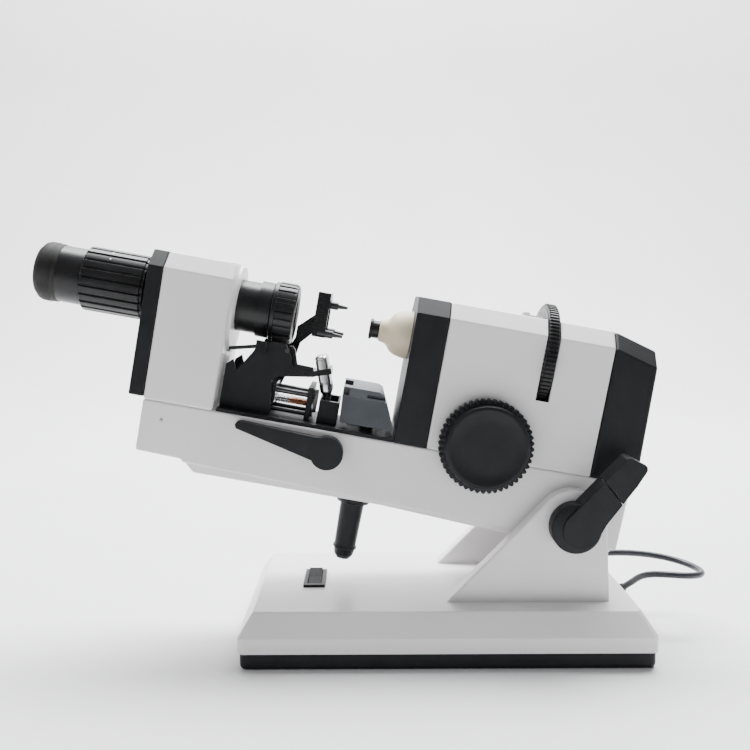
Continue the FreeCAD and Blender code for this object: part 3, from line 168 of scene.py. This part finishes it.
def make_materials():
    """Finishes by name; each row is the dark and light colour, the roughness range, the grain in
    features per metre, the relief in metres and what differs from the usual."""
    metal = {"metallic": 1.0}
    rows = {
        "white_paint": ((0.70, 0.68, 0.675), (0.76, 0.745, 0.745), (0.30, 0.42), 1100, 0.00002,
                        {"mottle": 9, "coat": 0.15}),
        "black_moulding": ((0.004, 0.0045, 0.006), (0.008, 0.009, 0.011), (0.38, 0.56), 2600,
                           0.00004, {"mottle": 60, "specular": 0.22}),
        "black_anodised": ((0.003, 0.003, 0.0035), (0.009, 0.009, 0.0095), (0.26, 0.40), 1800,
                           0.00002, {"mottle": 80, "specular": 0.3}),
        "black_enamel": ((0.003, 0.003, 0.0035), (0.008, 0.008, 0.0085), (0.22, 0.36), 900,
                         0.00002, {"mottle": 70, "coat": 0.1, "specular": 0.25}),
        "switch_gloss": ((0.004, 0.004, 0.005), (0.009, 0.009, 0.01), (0.34, 0.48), 700, 0.00001,
                         {"specular": 0.06}),
        "soft_rubber": ((0.009, 0.0085, 0.008), (0.024, 0.022, 0.021), (0.55, 0.75), 1500,
                        0.00006, {"mottle": 120, "specular": 0.25}),
        "cord_sheath": ((0.012, 0.013, 0.018), (0.02, 0.021, 0.028), (0.32, 0.46), 900, 0.00003,
                        {"mottle": 90}),
        "cream_plastic": ((0.62, 0.53, 0.38), (0.70, 0.61, 0.45), (0.42, 0.55), 800, 0.00004,
                          {"mottle": 45, "specular": 0.4}),
        "grey_plastic": ((0.045, 0.052, 0.06), (0.062, 0.07, 0.08), (0.42, 0.58), 1700, 0.00004,
                         {"mottle": 60}),
        "bright_steel": ((0.50, 0.50, 0.51), (0.66, 0.66, 0.67), (0.16, 0.3), 900, 0.00001,
                         {"metallic": 1.0, "stretch": (1, 6, 6)}),
        "gear_steel": ((0.36, 0.36, 0.37), (0.5, 0.5, 0.5), (0.28, 0.42), 1400, 0.00002, metal),
        "dark_steel": ((0.07, 0.07, 0.075), (0.13, 0.13, 0.135), (0.26, 0.40), 1400, 0.00001,
                       metal),
        "bush_brass": ((0.55, 0.38, 0.14), (0.72, 0.53, 0.24), (0.22, 0.38), 1200, 0.00002, metal),
        "copper_wire": ((0.5, 0.22, 0.12), (0.72, 0.38, 0.24), (0.2, 0.34), 1500, 0.00001, metal),
        "felt": ((0.60, 0.60, 0.57), (0.80, 0.80, 0.77), (0.8, 0.95), 2400, 0.00018,
                 {"mottle": 300, "specular": 0.2}),
        "pen_felt": ((0.1, 0.1, 0.11), (0.03, 0.03, 0.032), (0.7, 0.9), 2400, 0.00012,
                     {"mottle": 300, "specular": 0.2}),
        "pin_plastic": ((0.01, 0.01, 0.011), (0.02, 0.02, 0.022), (0.3, 0.45), 1500, 0.00003, {}),
        "pointer_white": ((0.7, 0.7, 0.68), (0.8, 0.8, 0.78), (0.3, 0.42), 900, 0.00002, {}),
        "mark_white": ((0.7, 0.7, 0.7), (0.82, 0.82, 0.82), (0.5, 0.6), 1500, 0.00001, {}),
        "circuit_parts": ((0.02, 0.09, 0.04), (0.03, 0.13, 0.06), (0.3, 0.5), 700, 0.0001,
                          {"mottle": 200}),
    }
    finishes = {}
    for name, (dark, light, rough, grain, relief, more) in rows.items():
        finishes[name] = finish_of(name, dark, light, rough, grain, relief, **more)
    finishes["optical_glass"] = glass("optical_glass", (0.86, 0.93, 0.90), (0.01, 0.05))
    return finishes


MATERIALS = make_materials()


def dress_frame():
    """Gives each CAD node the procedural finish of its material slot."""
    finishes = {"pen_tips": "pen_felt", "guide_rods": "dark_steel"}
    for row in frame["record"]["subparts"]:
        data = NODES[row["node"]]
        material = MATERIALS[finishes.get(row["node"], row["material_slot"])]
        for holder in data.material_slots:
            holder.material = material


# Mesh helpers

def piece(name, mesh, body, slot, finish=None, replaces=(), place=None, crease=35, ride=True):
    """Object from a mesh, in place and riding on a body."""
    if place is not None:
        mesh.transform(place)
    mesh.shade_smooth()
    mesh.set_sharp_from_angle(angle=math.radians(crease))
    mesh.materials.append(MATERIALS[finish or slot])
    made = bpy.data.objects.new(name, mesh)
    bpy.context.scene.collection.objects.link(made)
    if ride:
        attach(made, body)
    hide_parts(*replaces)
    return made


def mesh_of(name, builder):
    mesh = bpy.data.meshes.new(name)
    bmesh.ops.recalc_face_normals(builder, faces=builder.faces)
    builder.to_mesh(mesh)
    builder.free()
    return mesh


def bevelled(made, width, segments=3):
    """Rounds the sharp edges of a piece."""
    modifier = made.modifiers.new("Rounded", "BEVEL")
    modifier.width = width
    modifier.segments = segments
    modifier.limit_method = "ANGLE"
    modifier.angle_limit = math.radians(40)
    modifier.harden_normals = True
    return made


def lathe(name, profile, turns=96, shape=None, hollow=False):
    """Solid turned about X. Profile holds (x, radius) pairs; shape(x, radius, step) gives the
    radius at one step round; a hollow profile is closed on itself."""
    builder = bmesh.new()
    rings = []
    for x, radius in profile:
        if radius == 0:
            rings.append([builder.verts.new((x, 0, 0))])
            continue
        ring = []
        for step in range(turns):
            angle = 2 * math.pi * step / turns
            reach = shape(x, radius, step) if shape else radius
            ring.append(builder.verts.new((x, reach * math.sin(angle), reach * math.cos(angle))))
        rings.append(ring)
    pairs = list(zip(rings, rings[1:]))
    if hollow:
        pairs.append((rings[-1], rings[0]))
    for first, second in pairs:
        for step in range(turns):
            following = (step + 1) % turns
            corners = [first[step % len(first)], first[following % len(first)],
                       second[following % len(second)], second[step % len(second)]]
            builder.faces.new(list(dict.fromkeys(corners)))
    return mesh_of(name, builder)


def slab(name, outline, low, high, front=None):
    """Outline of (x, z) points made thick from y = low to y = high; front is the outline at low
    where the two ends differ."""
    builder = bmesh.new()
    near = [builder.verts.new((x, low, z)) for x, z in front or outline]
    far = [builder.verts.new((x, high, z)) for x, z in outline]
    builder.faces.new(near)
    builder.faces.new(far)
    for index in range(len(outline)):
        following = (index + 1) % len(outline)
        builder.faces.new([near[index], near[following], far[following], far[index]])
    return mesh_of(name, builder)


def arc(centre, radius, start, end, steps=12):
    """Points on an arc in degrees, measured from +X towards +Z."""
    points = []
    for step in range(steps + 1):
        angle = math.radians(start + (end - start) * step / steps)
        points.append((centre[0] + radius * math.cos(angle), centre[1] + radius * math.sin(angle)))
    return points


def sweep(name, points, radius, sides=16):
    """Round tube along points, with flat ends."""
    builder = bmesh.new()
    points = [Vector(point) for point in points]
    heading = (points[1] - points[0]).normalized()
    side = heading.orthogonal().normalized()
    rings = []
    for index, point in enumerate(points):
        before = points[max(index - 1, 0)]
        after = points[min(index + 1, len(points) - 1)]
        turned = (after - before).normalized()
        side = (heading.rotation_difference(turned) @ side).normalized()
        heading = turned
        other = heading.cross(side)
        ring = []
        for step in range(sides):
            angle = 2 * math.pi * step / sides
            outward = math.cos(angle) * side + math.sin(angle) * other
            ring.append(builder.verts.new(point + radius * outward))
        rings.append(ring)
    for first, second in zip(rings, rings[1:]):
        for step in range(sides):
            following = (step + 1) % sides
            builder.faces.new([first[step], first[following], second[following], second[step]])
    builder.faces.new(rings[0])
    builder.faces.new(rings[-1])
    return mesh_of(name, builder)


def facing(origin, direction, up=Vector((0, 0, 1))):
    """Placement whose X axis points along a direction."""
    first = Vector(direction).normalized()
    second = up.cross(first).normalized()
    third = first.cross(second)
    return Matrix.Translation(origin) @ Matrix((first, second, third)).transposed().to_4x4()


# Link lead between the head and the base

CORD_DIAMETER = 0.0048
CORD_ROUTE = [
    (0.10148, 0.0240, 0.06096), (0.1060, 0.0240, 0.05445), (0.1146, 0.0256, 0.0488),
    (0.1275, 0.0295, 0.0466), (0.1410, 0.0334, 0.0458), (0.1550, 0.0364, 0.0444),
    (0.1686, 0.0374, 0.0426), (0.1810, 0.0342, 0.0410), (0.1904, 0.0262, 0.0398),
    (0.1954, 0.0148, 0.0392), (0.1950, 0.0024, 0.0398), (0.1886, -0.0080, 0.0412),
    (0.1774, -0.0134, 0.0426), (0.1650, -0.0116, 0.0430), (0.1556, -0.0032, 0.0408),
    (0.1504, 0.0080, 0.0354), (0.1470, 0.0172, 0.0277), (0.14305, 0.02312, 0.02214),
]
GLAND_RIBS = 5


def centreline(route):
    """Points of the smooth NURBS line that has the route's points as control points."""
    curve = bpy.data.curves.new("lead_line", "CURVE")
    curve.dimensions = "3D"
    curve.resolution_u = 10
    spline = curve.splines.new("NURBS")
    spline.points.add(len(route) - 1)
    for point, place in zip(spline.points, route):
        point.co = (*place, 1)
    spline.order_u = 3
    spline.use_endpoint_u = True
    holder = bpy.data.objects.new("lead_line", curve)
    points = [vertex.co.copy() for vertex in bpy.data.meshes.new_from_object(holder).vertices]
    bpy.data.objects.remove(holder)
    return points


def make_lead():
    line = centreline(CORD_ROUTE)
    lead = piece("lead", sweep("lead", line, CORD_DIAMETER / 2, 20), "base", "cord_sheath",
                 replaces=["link_cord"], crease=60, ride=False)
    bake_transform(lead)


def make_gland(name, node, body, tip, direction, length=0.0105):
    """Ribbed strain relief that ends where the lead comes out."""
    root, tip_radius, flange = 0.0044, 0.0031, 0.0053
    neck, collar = 0.0018, 0.0010
    profile = [(0, 0), (0, flange), (0.0012, flange), (neck, root)]
    pitch = (length - neck - collar) / GLAND_RIBS
    for rib in range(GLAND_RIBS):
        radius = root + (tip_radius - root) * rib / GLAND_RIBS
        start = neck + rib * pitch
        profile += [(start + 0.62 * pitch, radius - 0.0001),
                    (start + 0.68 * pitch, radius - 0.0009),
                    (start + 0.94 * pitch, radius - 0.0009),
                    (start + pitch, radius - 0.0002)]
    profile += [(length, tip_radius - 0.0003), (length, 0)]
    origin = Vector(tip) - Vector(direction).normalized() * length
    piece(name, lathe(name, profile, 48), body, "soft_rubber", replaces=[node],
          place=facing(origin, direction))


def make_glands():
    first, second = Vector(CORD_ROUTE[0]), Vector(CORD_ROUTE[1])
    last, before = Vector(CORD_ROUTE[-1]), Vector(CORD_ROUTE[-2])
    make_gland("gland_head", "head_cord_gland", "head", first, second - first)
    make_gland("gland_base", "base_cord_gland", "base", last, before - last)


# Turned pieces on the optical axis

def optical_place(node):
    """Placement at the node's front end with X along the optical axis, then its length and
    radius."""
    low, high = level_box(node)
    centre = Vector((low.x, (low.y + high.y) / 2, (low.z + high.z) / 2))
    return HEAD @ Matrix.Translation(centre), high.x - low.x, (high.y - low.y) / 2


def fluted(rib_steps, groove_steps, depth, start, end):
    """Grooves along a ring between two places; a rib and a groove take the steps given."""
    def shape(x, radius, step):
        inside = start < x < end and step % (rib_steps + groove_steps) >= rib_steps
        return radius - depth if inside else radius
    return shape


RIB_STEPS = 6
GROOVE_STEPS = 2
FOCUS_STEPS = 22 * (RIB_STEPS + GROOVE_STEPS)
PRISM_STEPS = 26 * (RIB_STEPS + GROOVE_STEPS)
TRIANGLE_STEP = 162.5
DOT_STEP = 154.5


def make_focus_ring():
    place, length, radius = optical_place("focus_ring")
    bore = radius - 0.0050
    profile = [(0.0002, bore), (0.0002, radius - 0.0026), (0.0010, radius - 0.0012),
               (0.0016, radius - 0.0004), (0.0020, radius), (length - 0.0022, radius),
               (length - 0.0016, radius - 0.0008), (length, radius - 0.0012), (length, bore)]
    shape = fluted(RIB_STEPS, GROOVE_STEPS, 0.0013, 0.0012, length - 0.0010)
    ring = piece("focus_grip", lathe("focus_grip", profile, FOCUS_STEPS, shape, True), "focus",
                 "black_anodised", replaces=["focus_ring"], place=place, crease=25)
    bevelled(ring, 0.00018, 2)
    make_focus_marks(place, length, radius)


def make_focus_marks(place, length, radius):
    """White index marks painted on one rib: a triangle and a dot."""
    triangle, dot = 0.0011, 0.0006
    marks = (("focus_mark_triangle", TRIANGLE_STEP,
              [(0.0, triangle), (triangle, -triangle), (-triangle, -triangle)]),
             ("focus_mark_dot", DOT_STEP, arc((0, 0), dot, 0, 330, 11)))
    upright = Matrix.Rotation(math.pi / 2, 4, "X")
    outward = Matrix.Translation((length * 0.42, 0, radius))
    for name, step, outline in marks:
        turn = Matrix.Rotation(-2 * math.pi * step / FOCUS_STEPS, 4, "X")
        piece(name, slab(name, outline, -0.00004, 0.00010), "focus", "black_anodised",
              finish="mark_white", place=place @ turn @ outward @ upright)


def make_prism_ring():
    place, length, radius = optical_place("prism_ring")
    bore = 0.0140
    profile = [(0, radius - 0.0056), (0, radius - 0.0014), (0.0006, radius - 0.0006),
               (0.0030, radius - 0.0006), (0.0034, radius), (length - 0.0030, radius),
               (length - 0.0012, radius - 0.0006), (length - 0.0002, radius - 0.0022),
               (length, radius - 0.0038), (length - 0.0002, radius - 0.0046),
               (length - 0.0014, bore + 0.0004), (length - 0.0060, bore), (0.0092, bore)]
    shape = fluted(RIB_STEPS, GROOVE_STEPS, 0.0010, 0.0032, length - 0.0020)
    ring = piece("prism_grip", lathe("prism_grip", profile, PRISM_STEPS, shape, True), "prism",
                 "black_anodised", replaces=["prism_ring"], place=place, crease=25)
    bevelled(ring, 0.00015, 2)


def make_eyecup():
    place, length, radius = optical_place("eyecup")
    bore = 0.0130
    profile = [(0.0030, bore), (0.0006, bore + 0.0014), (0, bore + 0.0026),
               (0.0005, bore + 0.0038), (0.0016, radius - 0.0030), (0.0034, radius - 0.0010),
               (0.0056, radius - 0.0001), (0.0080, radius), (0.0110, radius),
               (0.0118, radius - 0.0008), (0.0124, radius - 0.0009), (0.0128, radius - 0.0003),
               (length - 0.0008, radius - 0.0004), (length, radius - 0.0009), (length, bore)]
    piece("eyecup_rubber", lathe("eyecup_rubber", profile, 128, None, True), "eyepiece",
          "soft_rubber", replaces=["eyecup"], place=place, crease=50)


def make_nose_cone():
    place, length, radius = optical_place("nose_cone")
    bore = 0.00635
    profile = [(0, bore), (0, 0.0070), (0.0009, 0.0078), (0.0028, 0.0081), (0.0047, 0.0086),
               (0.0062, 0.0096), (0.0074, 0.0110), (0.0084, 0.0124), (0.0096, 0.0137),
               (0.0112, 0.0148), (0.0130, 0.0156), (0.0152, 0.0163), (0.0176, 0.0168),
               (0.0200, radius - 0.0002), (length - 0.0002, radius), (length - 0.0002, 0.0110),
               (length - 0.0105, bore)]
    piece("nose_cone_smooth", lathe("nose_cone_smooth", profile, 128, None, True), "head",
          "cream_plastic", replaces=["nose_cone"], place=place, crease=50)


def make_lens_stop():
    place, length, radius = optical_place("lens_stop")
    bore = 0.0040
    sleeve = 0.0063
    profile = [(0.0004, bore), (0, bore + 0.0005), (0, radius - 0.0004), (0.0004, radius),
               (0.0019, radius), (0.0023, radius - 0.0004), (0.0024, sleeve), (length, sleeve),
               (length, bore)]
    piece("lens_stop_ring", lathe("lens_stop_ring", profile, 96, None, True), "head",
          "black_anodised", replaces=["lens_stop"], place=place)


WHEEL_TEETH = 84
WHEEL_TOOTH_STEPS = 3
WHEEL_THICK = 0.0082
WHEEL_TICKS = 72
LONG_TICK_EVERY = 6
TICK_RAISED = 0.00008


def make_axis_wheel():
    """Serrated wheel with a scale of fine marks on its front face."""
    place, length, radius = optical_place("axis_wheel")
    bore, hub, thick = 0.00605, 0.0084, WHEEL_THICK
    profile = [(0, bore), (0, radius - 0.0034), (0.0004, radius - 0.0028),
               (0.0004, radius - 0.0012), (0.0014, radius), (thick - 0.0014, radius),
               (thick - 0.0004, radius - 0.0012), (thick, radius - 0.0028), (thick, hub),
               (length, hub), (length, bore)]
    shape = fluted(WHEEL_TOOTH_STEPS, WHEEL_TOOTH_STEPS, 0.0011, 0.0006, thick - 0.0006)
    steps = WHEEL_TEETH * 2 * WHEEL_TOOTH_STEPS
    wheel = piece("axis_wheel_rim", lathe("axis_wheel_rim", profile, steps, shape, True), "wheel",
                  "black_anodised", replaces=["axis_wheel"], place=place, crease=25)
    bevelled(wheel, 0.00012, 1)
    make_wheel_scale(place, radius - 0.0036)


def make_wheel_scale(place, outside):
    """Radial marks that end at one radius; every sixth is longer and wider."""
    builder = bmesh.new()
    for tick in range(WHEEL_TICKS):
        reach, width = (0.0040, 0.00044) if tick % LONG_TICK_EVERY == 0 else (0.0022, 0.00028)
        turn = Matrix.Rotation(2 * math.pi * tick / WHEEL_TICKS, 4, "X")
        centre = Matrix.Translation((0.00002, 0, outside - reach / 2))
        size = Matrix.Diagonal((2 * TICK_RAISED, width, reach, 1))
        bmesh.ops.create_cube(builder, size=1.0, matrix=turn @ centre @ size)
    piece("axis_wheel_scale", mesh_of("axis_wheel_scale", builder), "wheel", "black_anodised",
          finish="mark_white", place=place)


# Power knob

KNOB_TEETH = 48
KNOB_STEPS = 8
KNOB_DISC_DEPTH = 0.0060
KNOB_DISC_INSET = 0.0038
TOOTH_DEPTH = 0.0021
TOOTH_ROUNDING = 0.8


def make_power_knob():
    """Toothed knob with a smooth raised disc and a shallow dish on its face."""
    low, high = level_box("power_knob")
    centre = HEAD @ Vector(((low.x + high.x) / 2, high.y, (low.z + high.z) / 2))
    depth, radius = high.y - low.y, (high.z - low.z) / 2
    step, disc = depth - KNOB_DISC_DEPTH, radius - KNOB_DISC_INSET

    def teeth(x, reach, index):
        if reach < disc + 0.0002 or reach > radius + 0.0001:
            return reach
        wave = abs(math.sin(math.pi * index / KNOB_STEPS))
        return reach - TOOTH_DEPTH * (1 - wave ** TOOTH_ROUNDING)

    toothed = [(0, 0), (0, radius - 0.0012), (0.0008, radius), (step - 0.0014, radius),
               (step - 0.0004, radius - 0.0006), (step, radius - 0.0018)]
    raised = [(step, disc + 0.0001), (step + 0.0002, disc - 0.0002),
              (depth - 0.0018, disc - 0.0002), (depth - 0.0009, disc - 0.0005),
              (depth - 0.0003, disc - 0.0011), (depth, disc - 0.0022)]
    dish = [(depth, disc - 0.0036), (depth - 0.0005, disc - 0.0046),
            (depth - 0.0007, disc - 0.0120), (depth - 0.0006, 0)]
    knob = lathe("power_knob_toothed", toothed + raised + dish, KNOB_TEETH * KNOB_STEPS, teeth)
    piece("power_knob_toothed", knob, "power", "black_moulding", replaces=["power_knob"],
          place=facing(centre, HEAD_AXES.to_3x3() @ -ACROSS), crease=30)


# Clamp lever

CLAMP_HUB = 0.0169
CLAMP_STEP = 0.0015
CLAMP_FACET = 0.0022
CLAMP_THICK = 0.0085


def clamp_grip(start, end):
    """Upper edge, rounded tip and lower edge of the handle between two shares of its length."""
    reaches = (start, min(end, 1))
    upper = [(0.0005 + 0.0281 * reach, 0.0190 + 0.0295 * reach) for reach in reaches]
    lower = [(0.0193 + 0.0197 * reach, 0.0033 + 0.0257 * reach) for reach in reaches[::-1]]
    tip = arc((0.0313, 0.0463), 0.0037, 133, 60, 8) + arc((0.0420, 0.0404), 0.0036, 60, -32, 8)
    return upper, tip if end > 1 else [], lower


def make_clamp_lever():
    """Faceted handle that grows out of a stepped hub, with a seam across it."""
    low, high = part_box("clamp_lever")
    depth = high.y - low.y - CLAMP_STEP
    hub = [(0, 0), (0, CLAMP_HUB - 0.0006), (0.0006, CLAMP_HUB), (depth - 0.0012, CLAMP_HUB),
           (depth - 0.0004, CLAMP_HUB - 0.0004), (depth, CLAMP_HUB - 0.0012), (depth, 0)]
    piece("clamp_hub", lathe("clamp_hub", hub), "clamp", "black_moulding",
          replaces=["clamp_lever"], place=facing((PIVOT.x, high.y, PIVOT.z), -ACROSS), crease=40)
    root = arc((0.0030, -0.0008), 0.0126, -40, -222, 24)
    for name, start, end, drop in (("root", 0.0, 0.52, 0.0), ("grip", 0.535, 2.0, 0.0003)):
        upper, tip, lower = clamp_grip(start, end)
        outline = upper + tip + lower + (root if name == "root" else [])
        facet = len(upper) + len(tip) // 2
        front = [(x + CLAMP_FACET, z - CLAMP_FACET) if index < facet else (x, z)
                 for index, (x, z) in enumerate(outline)]
        handle = slab("clamp_" + name, outline, low.y + drop, low.y + CLAMP_THICK, front)
        made = piece("clamp_" + name, handle, "clamp", "black_moulding", replaces=["clamp_lever"],
                     place=Matrix.Translation((PIVOT.x, 0, PIVOT.z)), crease=30)
        bevelled(made, 0.0005, 2)


# Pens, springs and small fittings

PEN_LEAN = math.radians(18.9)
PEN_SPACING = 0.0093
PEN_TIP = 0.0065
PEN_END = 0.0350


def make_pens():
    """Three silver pens side by side, each with a felt tip."""
    low, high = level_box("pen_barrels")
    radius = (high.y - low.y) / 2 - PEN_SPACING
    axis = HEAD_AXES.to_3x3() @ Vector((-math.sin(PEN_LEAN), 0, math.cos(PEN_LEAN)))
    origin = HEAD @ ((low + high) / 2) - axis * (PEN_TIP + PEN_END) / 2
    neck, groove = radius - 0.0020, radius - 0.0004
    nib_end = [(PEN_TIP, 0), (PEN_TIP, neck), (0.0070, neck + 0.0006),
               (0.0088, radius - 0.0004), (0.0098, radius)]
    grooves = []
    for start in (0.0150, 0.0318):
        grooves += [(start, radius), (start + 0.0002, groove), (start + 0.0007, groove),
                    (start + 0.0009, radius)]
    back_end = [(PEN_END - 0.0012, radius), (PEN_END - 0.0003, radius - 0.0007),
                (PEN_END, radius - 0.0016), (PEN_END, 0)]
    barrel = nib_end + grooves + back_end
    tip = [(0.0001, 0), (0.0004, 0.0006), (0.0018, 0.0008), (0.0024, 0.0010), (0.0027, 0.0018),
           (0.0052, 0.0023), (PEN_TIP - 0.0001, 0.0025), (PEN_TIP - 0.0001, 0)]
    for index, side in enumerate((-1, 0, 1)):
        place = facing(origin + ACROSS * side * PEN_SPACING, axis, ACROSS)
        piece("pen_barrel_%d" % index, lathe("pen_barrel_%d" % index, barrel, 48), "marker",
              "bright_steel", replaces=["pen_barrels"], place=place)
        piece("pen_tip_%d" % index, lathe("pen_tip_%d" % index, tip, 32), "marker", "felt",
              finish="pen_felt", replaces=["pen_tips"], place=place)


COIL_RADIUS = 0.0020
WIRE_RADIUS = 0.00034
COIL_STEPS = 14
STEEL_SHARE = 0.45


def coil(start, end, turns, across, height):
    """Points of a helix along X, in the head's level frame."""
    steps = turns * COIL_STEPS
    points = []
    for index in range(steps + 1):
        angle = 2 * math.pi * turns * index / steps
        points.append((start + (end - start) * index / steps,
                       across + COIL_RADIUS * math.cos(angle),
                       height + COIL_RADIUS * math.sin(angle)))
    return points


def make_springs():
    """Two springs of the lens holder; each is steel at its front and copper at its rear."""
    low, high = level_box("holder_springs")
    height = (low.z + high.z) / 2
    middle = low.x + (high.x - low.x) * STEEL_SHARE
    halves = (("steel", low.x, middle, 11, "bright_steel"),
              ("copper", middle, high.x, 13, "copper_wire"))
    for side, place_name in ((-1, "near"), (1, "far")):
        across = side * (high.y - COIL_RADIUS - WIRE_RADIUS)
        for metal, start, end, turns, finish in halves:
            label = "spring_%s_%s" % (metal, place_name)
            wire = sweep(label, coil(start, end, turns, across, height), WIRE_RADIUS, 8)
            made = piece(label, wire, "head", "bright_steel", finish=finish,
                         replaces=["holder_springs"], place=HEAD, crease=60)
            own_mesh(made)


SCREW_STEPS = 24
SCREW_UP = Vector((0.2, 0.1, 0.97))
CROSS_REACH = 1.9


def make_screw(name, body, centre, direction, radius=0.0022):
    """Pan head screw with a cross recess, half sunk in its surface."""
    profile = [(-0.0010, 0), (-0.0010, radius), (0.0003, radius), (0.0008, radius * 0.8),
               (0.0011, radius * 0.45), (0.0011, radius * 0.2), (0.0003, radius * 0.12),
               (0.0003, 0)]

    def cross(x, reach, step):
        in_slot = step % (SCREW_STEPS // 4) == 0 and reach < radius * 0.3
        return reach * CROSS_REACH if in_slot else reach

    piece(name, lathe(name, profile, SCREW_STEPS, cross), body, "bright_steel",
          place=facing(centre, direction, SCREW_UP), crease=30)


BEAM_SCREW = (-0.2875, 0.0195)
BEAM_SCREW_RADIUS = 0.0013
LAMP_SCREW_ACROSS = 0.026
LAMP_SCREW_HEIGHTS = (0.040, 0.096)
LAMP_SLOPE = 0.0235
LAMP_SLOPE_START = 0.0317
TRAY_SCREWS = ((0.075, 0), (-0.075, 0), (0, 0.055), (0, -0.055))
TRAY_SCREW_RADIUS = 0.0028
TRAY_SCREW_SUNK = 0.0011
SCREW_SUNK = 0.0002


def make_screws():
    """Screws in the near side of the beam, in the sloping lamp cover and in the underside."""
    axes = HEAD_AXES.to_3x3()
    near_side = level_box("beam_shell")[0].y + SCREW_SUNK
    make_screw("beam_screw_0", "head", HEAD @ Vector((BEAM_SCREW[0], near_side, BEAM_SCREW[1])),
               axes @ -ACROSS, BEAM_SCREW_RADIUS)
    rear = level_box("lamp_cover")[1].x - SCREW_SUNK
    corners = [(side * LAMP_SCREW_ACROSS, height) for height in LAMP_SCREW_HEIGHTS
               for side in (-1, 1)]
    for index, (across, height) in enumerate(corners):
        face = rear - (height - LAMP_SLOPE_START) * LAMP_SLOPE
        make_screw("lamp_cover_screw_%d" % index, "head", HEAD @ Vector((face, across, height)),
                   axes @ Vector((1, 0, 0)))
    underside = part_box("base_tray")[0].z + TRAY_SCREW_SUNK
    for index, (x, y) in enumerate(TRAY_SCREWS):
        make_screw("tray_screw_%d" % index, "base", Vector((x, y, underside)), (0, 0, -1),
                   TRAY_SCREW_RADIUS)


# Studio

FLOOR_HALF_WIDTH = 4
FLOOR_FRONT = -2.5
CURVE_START = 1.1
CURVE_STEPS = 14
BACKDROP_PLACE = 2.1
BACKDROP_HEIGHT = 4.0


def make_floor():
    """Pale floor that curves up into a backdrop."""
    curve = [math.radians(6 * step) for step in range(1, CURVE_STEPS + 1)]
    profile = [(FLOOR_FRONT, 0.0), (CURVE_START, 0.0)]
    profile += [(CURVE_START + math.sin(angle), 1 - math.cos(angle)) for angle in curve]
    profile += [(BACKDROP_PLACE, BACKDROP_HEIGHT)]
    builder = bmesh.new()
    rows = []
    for x in (-FLOOR_HALF_WIDTH, FLOOR_HALF_WIDTH):
        rows.append([builder.verts.new((x, y, z)) for y, z in profile])
    for index in range(len(profile) - 1):
        builder.faces.new([rows[0][index], rows[1][index], rows[1][index + 1], rows[0][index + 1]])
    mesh = mesh_of("floor", builder)
    mesh.shade_smooth()
    mesh.materials.append(finish_of("floor_paper", (0.80, 0.80, 0.80), (0.84, 0.84, 0.84),
                                    (0.7, 0.8), 200, 0.00002, mottle=3, specular=0.2))
    floor = bpy.data.objects.new("floor", mesh)
    bpy.context.scene.collection.objects.link(floor)


def make_light(name, place, target, size, power, colour=(1, 1, 1)):
    data = bpy.data.lights.new(name, "AREA")
    data.shape = "RECTANGLE"
    data.size, data.size_y = size
    data.energy = power
    data.color = colour
    light = bpy.data.objects.new(name, data)
    light.location = place
    direction = Vector(target) - Vector(place)
    light.rotation_euler = direction.to_track_quat("-Z", "Y").to_euler()
    bpy.context.scene.collection.objects.link(light)


def make_studio():
    make_floor()
    world = bpy.data.worlds.new("studio")
    world.use_nodes = True
    background = world.node_tree.nodes["Background"]
    background.inputs["Color"].default_value = (0.93, 0.95, 1.0, 1)
    background.inputs["Strength"].default_value = 0.36
    bpy.context.scene.world = world
    make_light("overhead", (0.1, 0.55, 1.4), (0, 0, 0.1), (1.4, 0.9), 54, (0.95, 0.98, 1.0))
    make_light("left_key", (-1.3, -0.9, 1.1), (0, 0, 0.15), (0.9, 0.9), 5, (1.0, 0.96, 0.93))
    make_light("backdrop", (0, 0.9, 2.6), (0, 2.1, 0.6), (3.4, 1.0), 240)


make_camera()
make_lead()
dress_frame()
make_glands()
make_focus_ring()
make_prism_ring()
make_eyecup()
make_nose_cone()
make_lens_stop()
make_axis_wheel()
make_power_knob()
make_clamp_lever()
make_pens()
make_springs()
make_screws()
make_studio()
